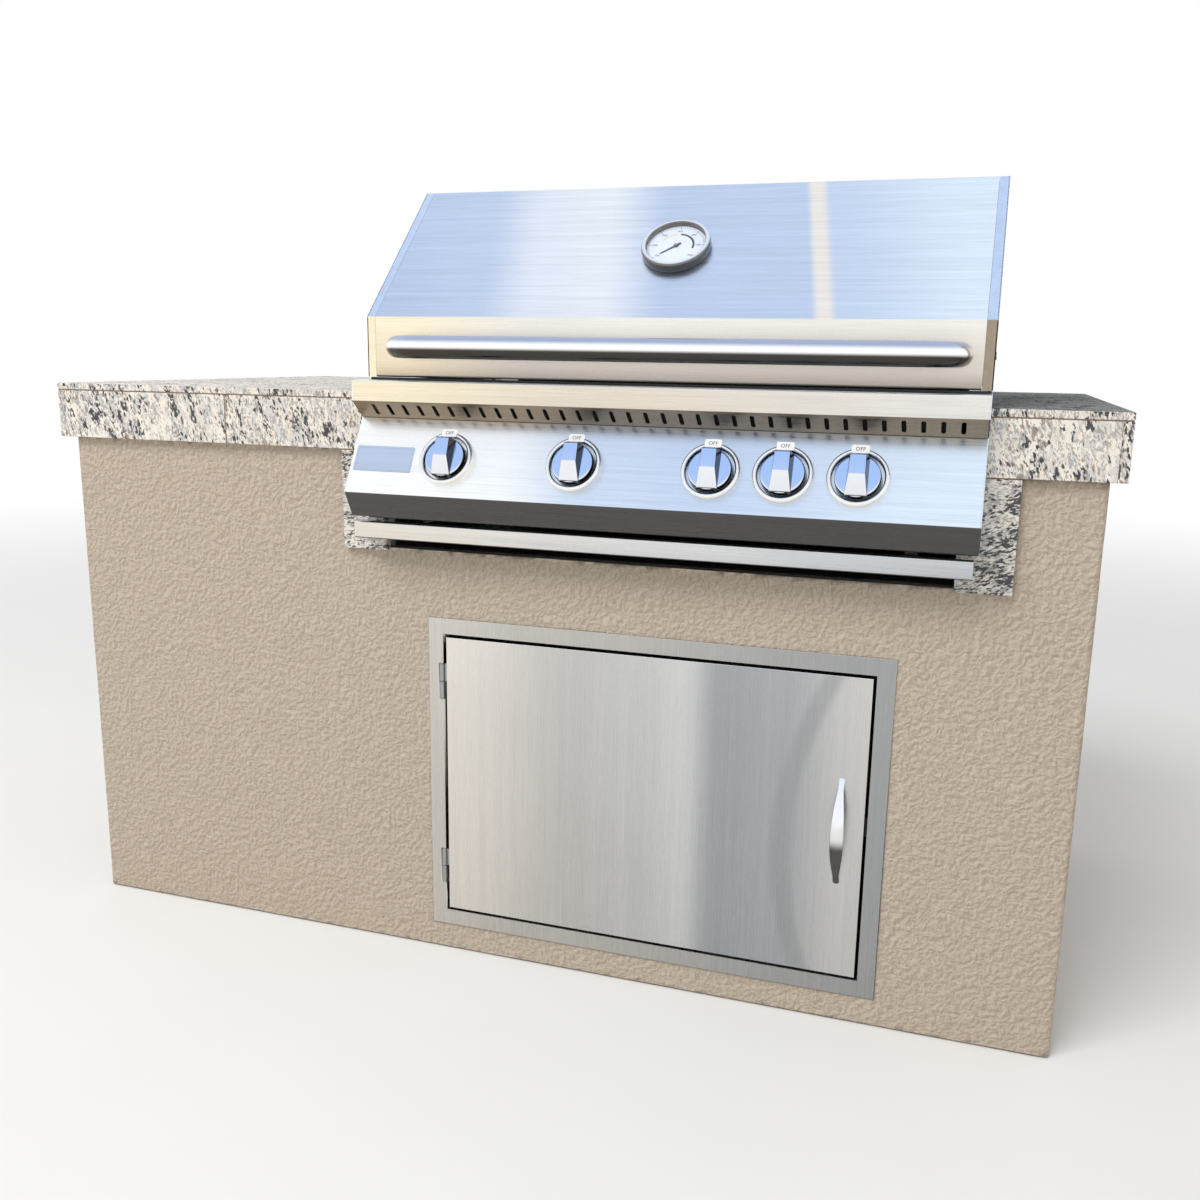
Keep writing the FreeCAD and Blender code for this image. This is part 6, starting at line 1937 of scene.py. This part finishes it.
class ISLAND_OT_thermometer(Operator):
    """Makes the hood's thermometer: case, printed dial, needle and glass"""

    bl_idname = "island.thermometer"
    bl_label = "Thermometer"

    def execute(self, context):
        hood = context.scene.island_hood
        r, up = millimetres(hood, "gauge_radius", "gauge_up")
        place = on_slope(up)
        cup = [(0, 0), (r - 0.6, 0), (r, 0.8), (r, 9.6), (r - 0.5, 12), (r - 1.8, 13.5),
               (r - 3.4, 14), (r - 5.2, 13.8), (r - 6.4, 13.1), (r - 7, 12), (r - 7, 5), (0, 5)]
        case = Shape().take(lathe(cup, 96), 0, place)
        case.take(tube([(0, 0, -45), (0, 0, 2.5)], 3.5), 0, place)
        piece("gauge_case", case, "case", "hood", "polished_steel", "thermometer_case", sharp=60)
        self.dial(hood, r, place)
        self.needle(place)
        pane = lathe([(0, 10.5), (r - 7, 10.5), (r - 7, 11.7), (0, 11.7)], 72)
        piece("gauge_window", Shape().take(pane, 0, place), "gauge_glass", "hood", "glass",
              "thermometer_glass")
        return {"FINISHED"}

    def dial(self, hood, r, place):
        """The dial plate with two printed bands, marks and numbers."""
        edge, first, sweep = r - 7, 130, 260
        shape = Shape().take(lathe([(0, 5), (edge, 5), (edge, 6), (0, 6)], 72), 0, place)
        shape.take(lathe([(0, 6), (1.5, 6), (1.5, 8.3), (1, 8.6), (0, 8.6)], 20), 3, place)
        shape.take(ring_part(23.5, 26.5, -62, 56, 5.95, 6.08), 1, place)
        shape.take(ring_part(23.5, 26.5, 6, 96, 5.95, 6.08), 2, place)
        plate = made("plate", shape, "dial dial_arc ink zinc")
        parts = [plate]
        at_face = in_metres(place @ Matrix.Translation((0, 0, 6.04)))
        for number, long, wide in ((hood.numbered, 5.0, 0.9),
                                   (10 * (hood.numbered - 1) + 1, 2.6, 0.4)):
            parts.append(grown("ticks", "Dial ticks", "ink", place=at_face, Count=number,
                               First=math.radians(first), Sweep=math.radians(sweep),
                               Inner=(edge - 1.5 - long) * MM, Length=long * MM, Width=wide * MM,
                               Height=0.0001))
        if hood.numbers:
            for k in range(hood.numbered):
                turn = math.radians(first - sweep * k / (hood.numbered - 1))
                spot = Matrix.Translation((-31.5 * math.sin(turn), 31.5 * math.cos(turn), 6.05))
                degrees = str(hood.coldest + k * hood.step)
                parts.append(lettering(degrees, 5.2, "ink", place @ spot))
        settled(joined("gauge_dial", *parts), "hood", "dial", "thermometer_dial")

    def needle(self, place):
        """The needle and its hub."""
        turned = place @ Matrix.Rotation(math.radians(130), 4, "Z")
        blade = [(-1.5, -8), (1.5, -8), (1.3, 0), (0.4, 26.6), (0, 27), (-0.4, 26.6), (-1.3, 0)]
        shape = Shape().take(extruded(blade, 6.6, 7.4, "z"), 0, turned)
        hub = lathe([(1.55, 6.6), (3.5, 6.6), (3.5, 7.7), (3, 8.2), (1.55, 8.2)], 32)
        shape.take(hub, 0, turned)
        piece("gauge_needle", shape, "needle", "needle", "needle", "thermometer_needle")


OPERATORS = [
    ISLAND_OT_stage, ISLAND_OT_stud_frame, ISLAND_OT_stucco, ISLAND_OT_wall_vents,
    ISLAND_OT_stone, ISLAND_OT_door_frame, ISLAND_OT_hinges, ISLAND_OT_door, ISLAND_OT_pull,
    ISLAND_OT_firebox, ISLAND_OT_burners, ISLAND_OT_grates, ISLAND_OT_ledge, ISLAND_OT_panel,
    ISLAND_OT_nameplate, ISLAND_OT_bezels, ISLAND_OT_knobs, ISLAND_OT_tray, ISLAND_OT_hood,
    ISLAND_OT_handle, ISLAND_OT_thermometer,
]


class ISLAND_PT_pieces(bpy.types.Panel):
    """Shows the island's settings and the buttons that build its pieces"""

    bl_idname = "ISLAND_PT_pieces"
    bl_label = "Outdoor Kitchen Island"
    bl_space_type = "VIEW_3D"
    bl_region_type = "UI"
    bl_category = "Island"

    def draw(self, context):
        layout = self.layout
        for group, settings in SETTINGS.items():
            box_of = layout.box()
            for name in settings.__annotations__:
                box_of.prop(getattr(context.scene, group), name)
        for operator in OPERATORS:
            layout.operator(operator.bl_idname)


def register():
    """Registers the settings, the operators and the panel."""
    for cls in (*SETTINGS.values(), *OPERATORS, ISLAND_PT_pieces):
        bpy.utils.register_class(cls)
    for name, settings in SETTINGS.items():
        setattr(bpy.types.Scene, name, PointerProperty(type=settings))


def unregister():
    """Takes them all away again."""
    for name in SETTINGS:
        delattr(bpy.types.Scene, name)
    for cls in (ISLAND_PT_pieces, *reversed(OPERATORS), *SETTINGS.values()):
        bpy.utils.unregister_class(cls)


def main():
    """Builds the stage and every piece."""
    register()
    for operator in OPERATORS:
        section, name = operator.bl_idname.split(".")
        getattr(getattr(bpy.ops, section), name)()


if __name__ == "__main__":
    main()
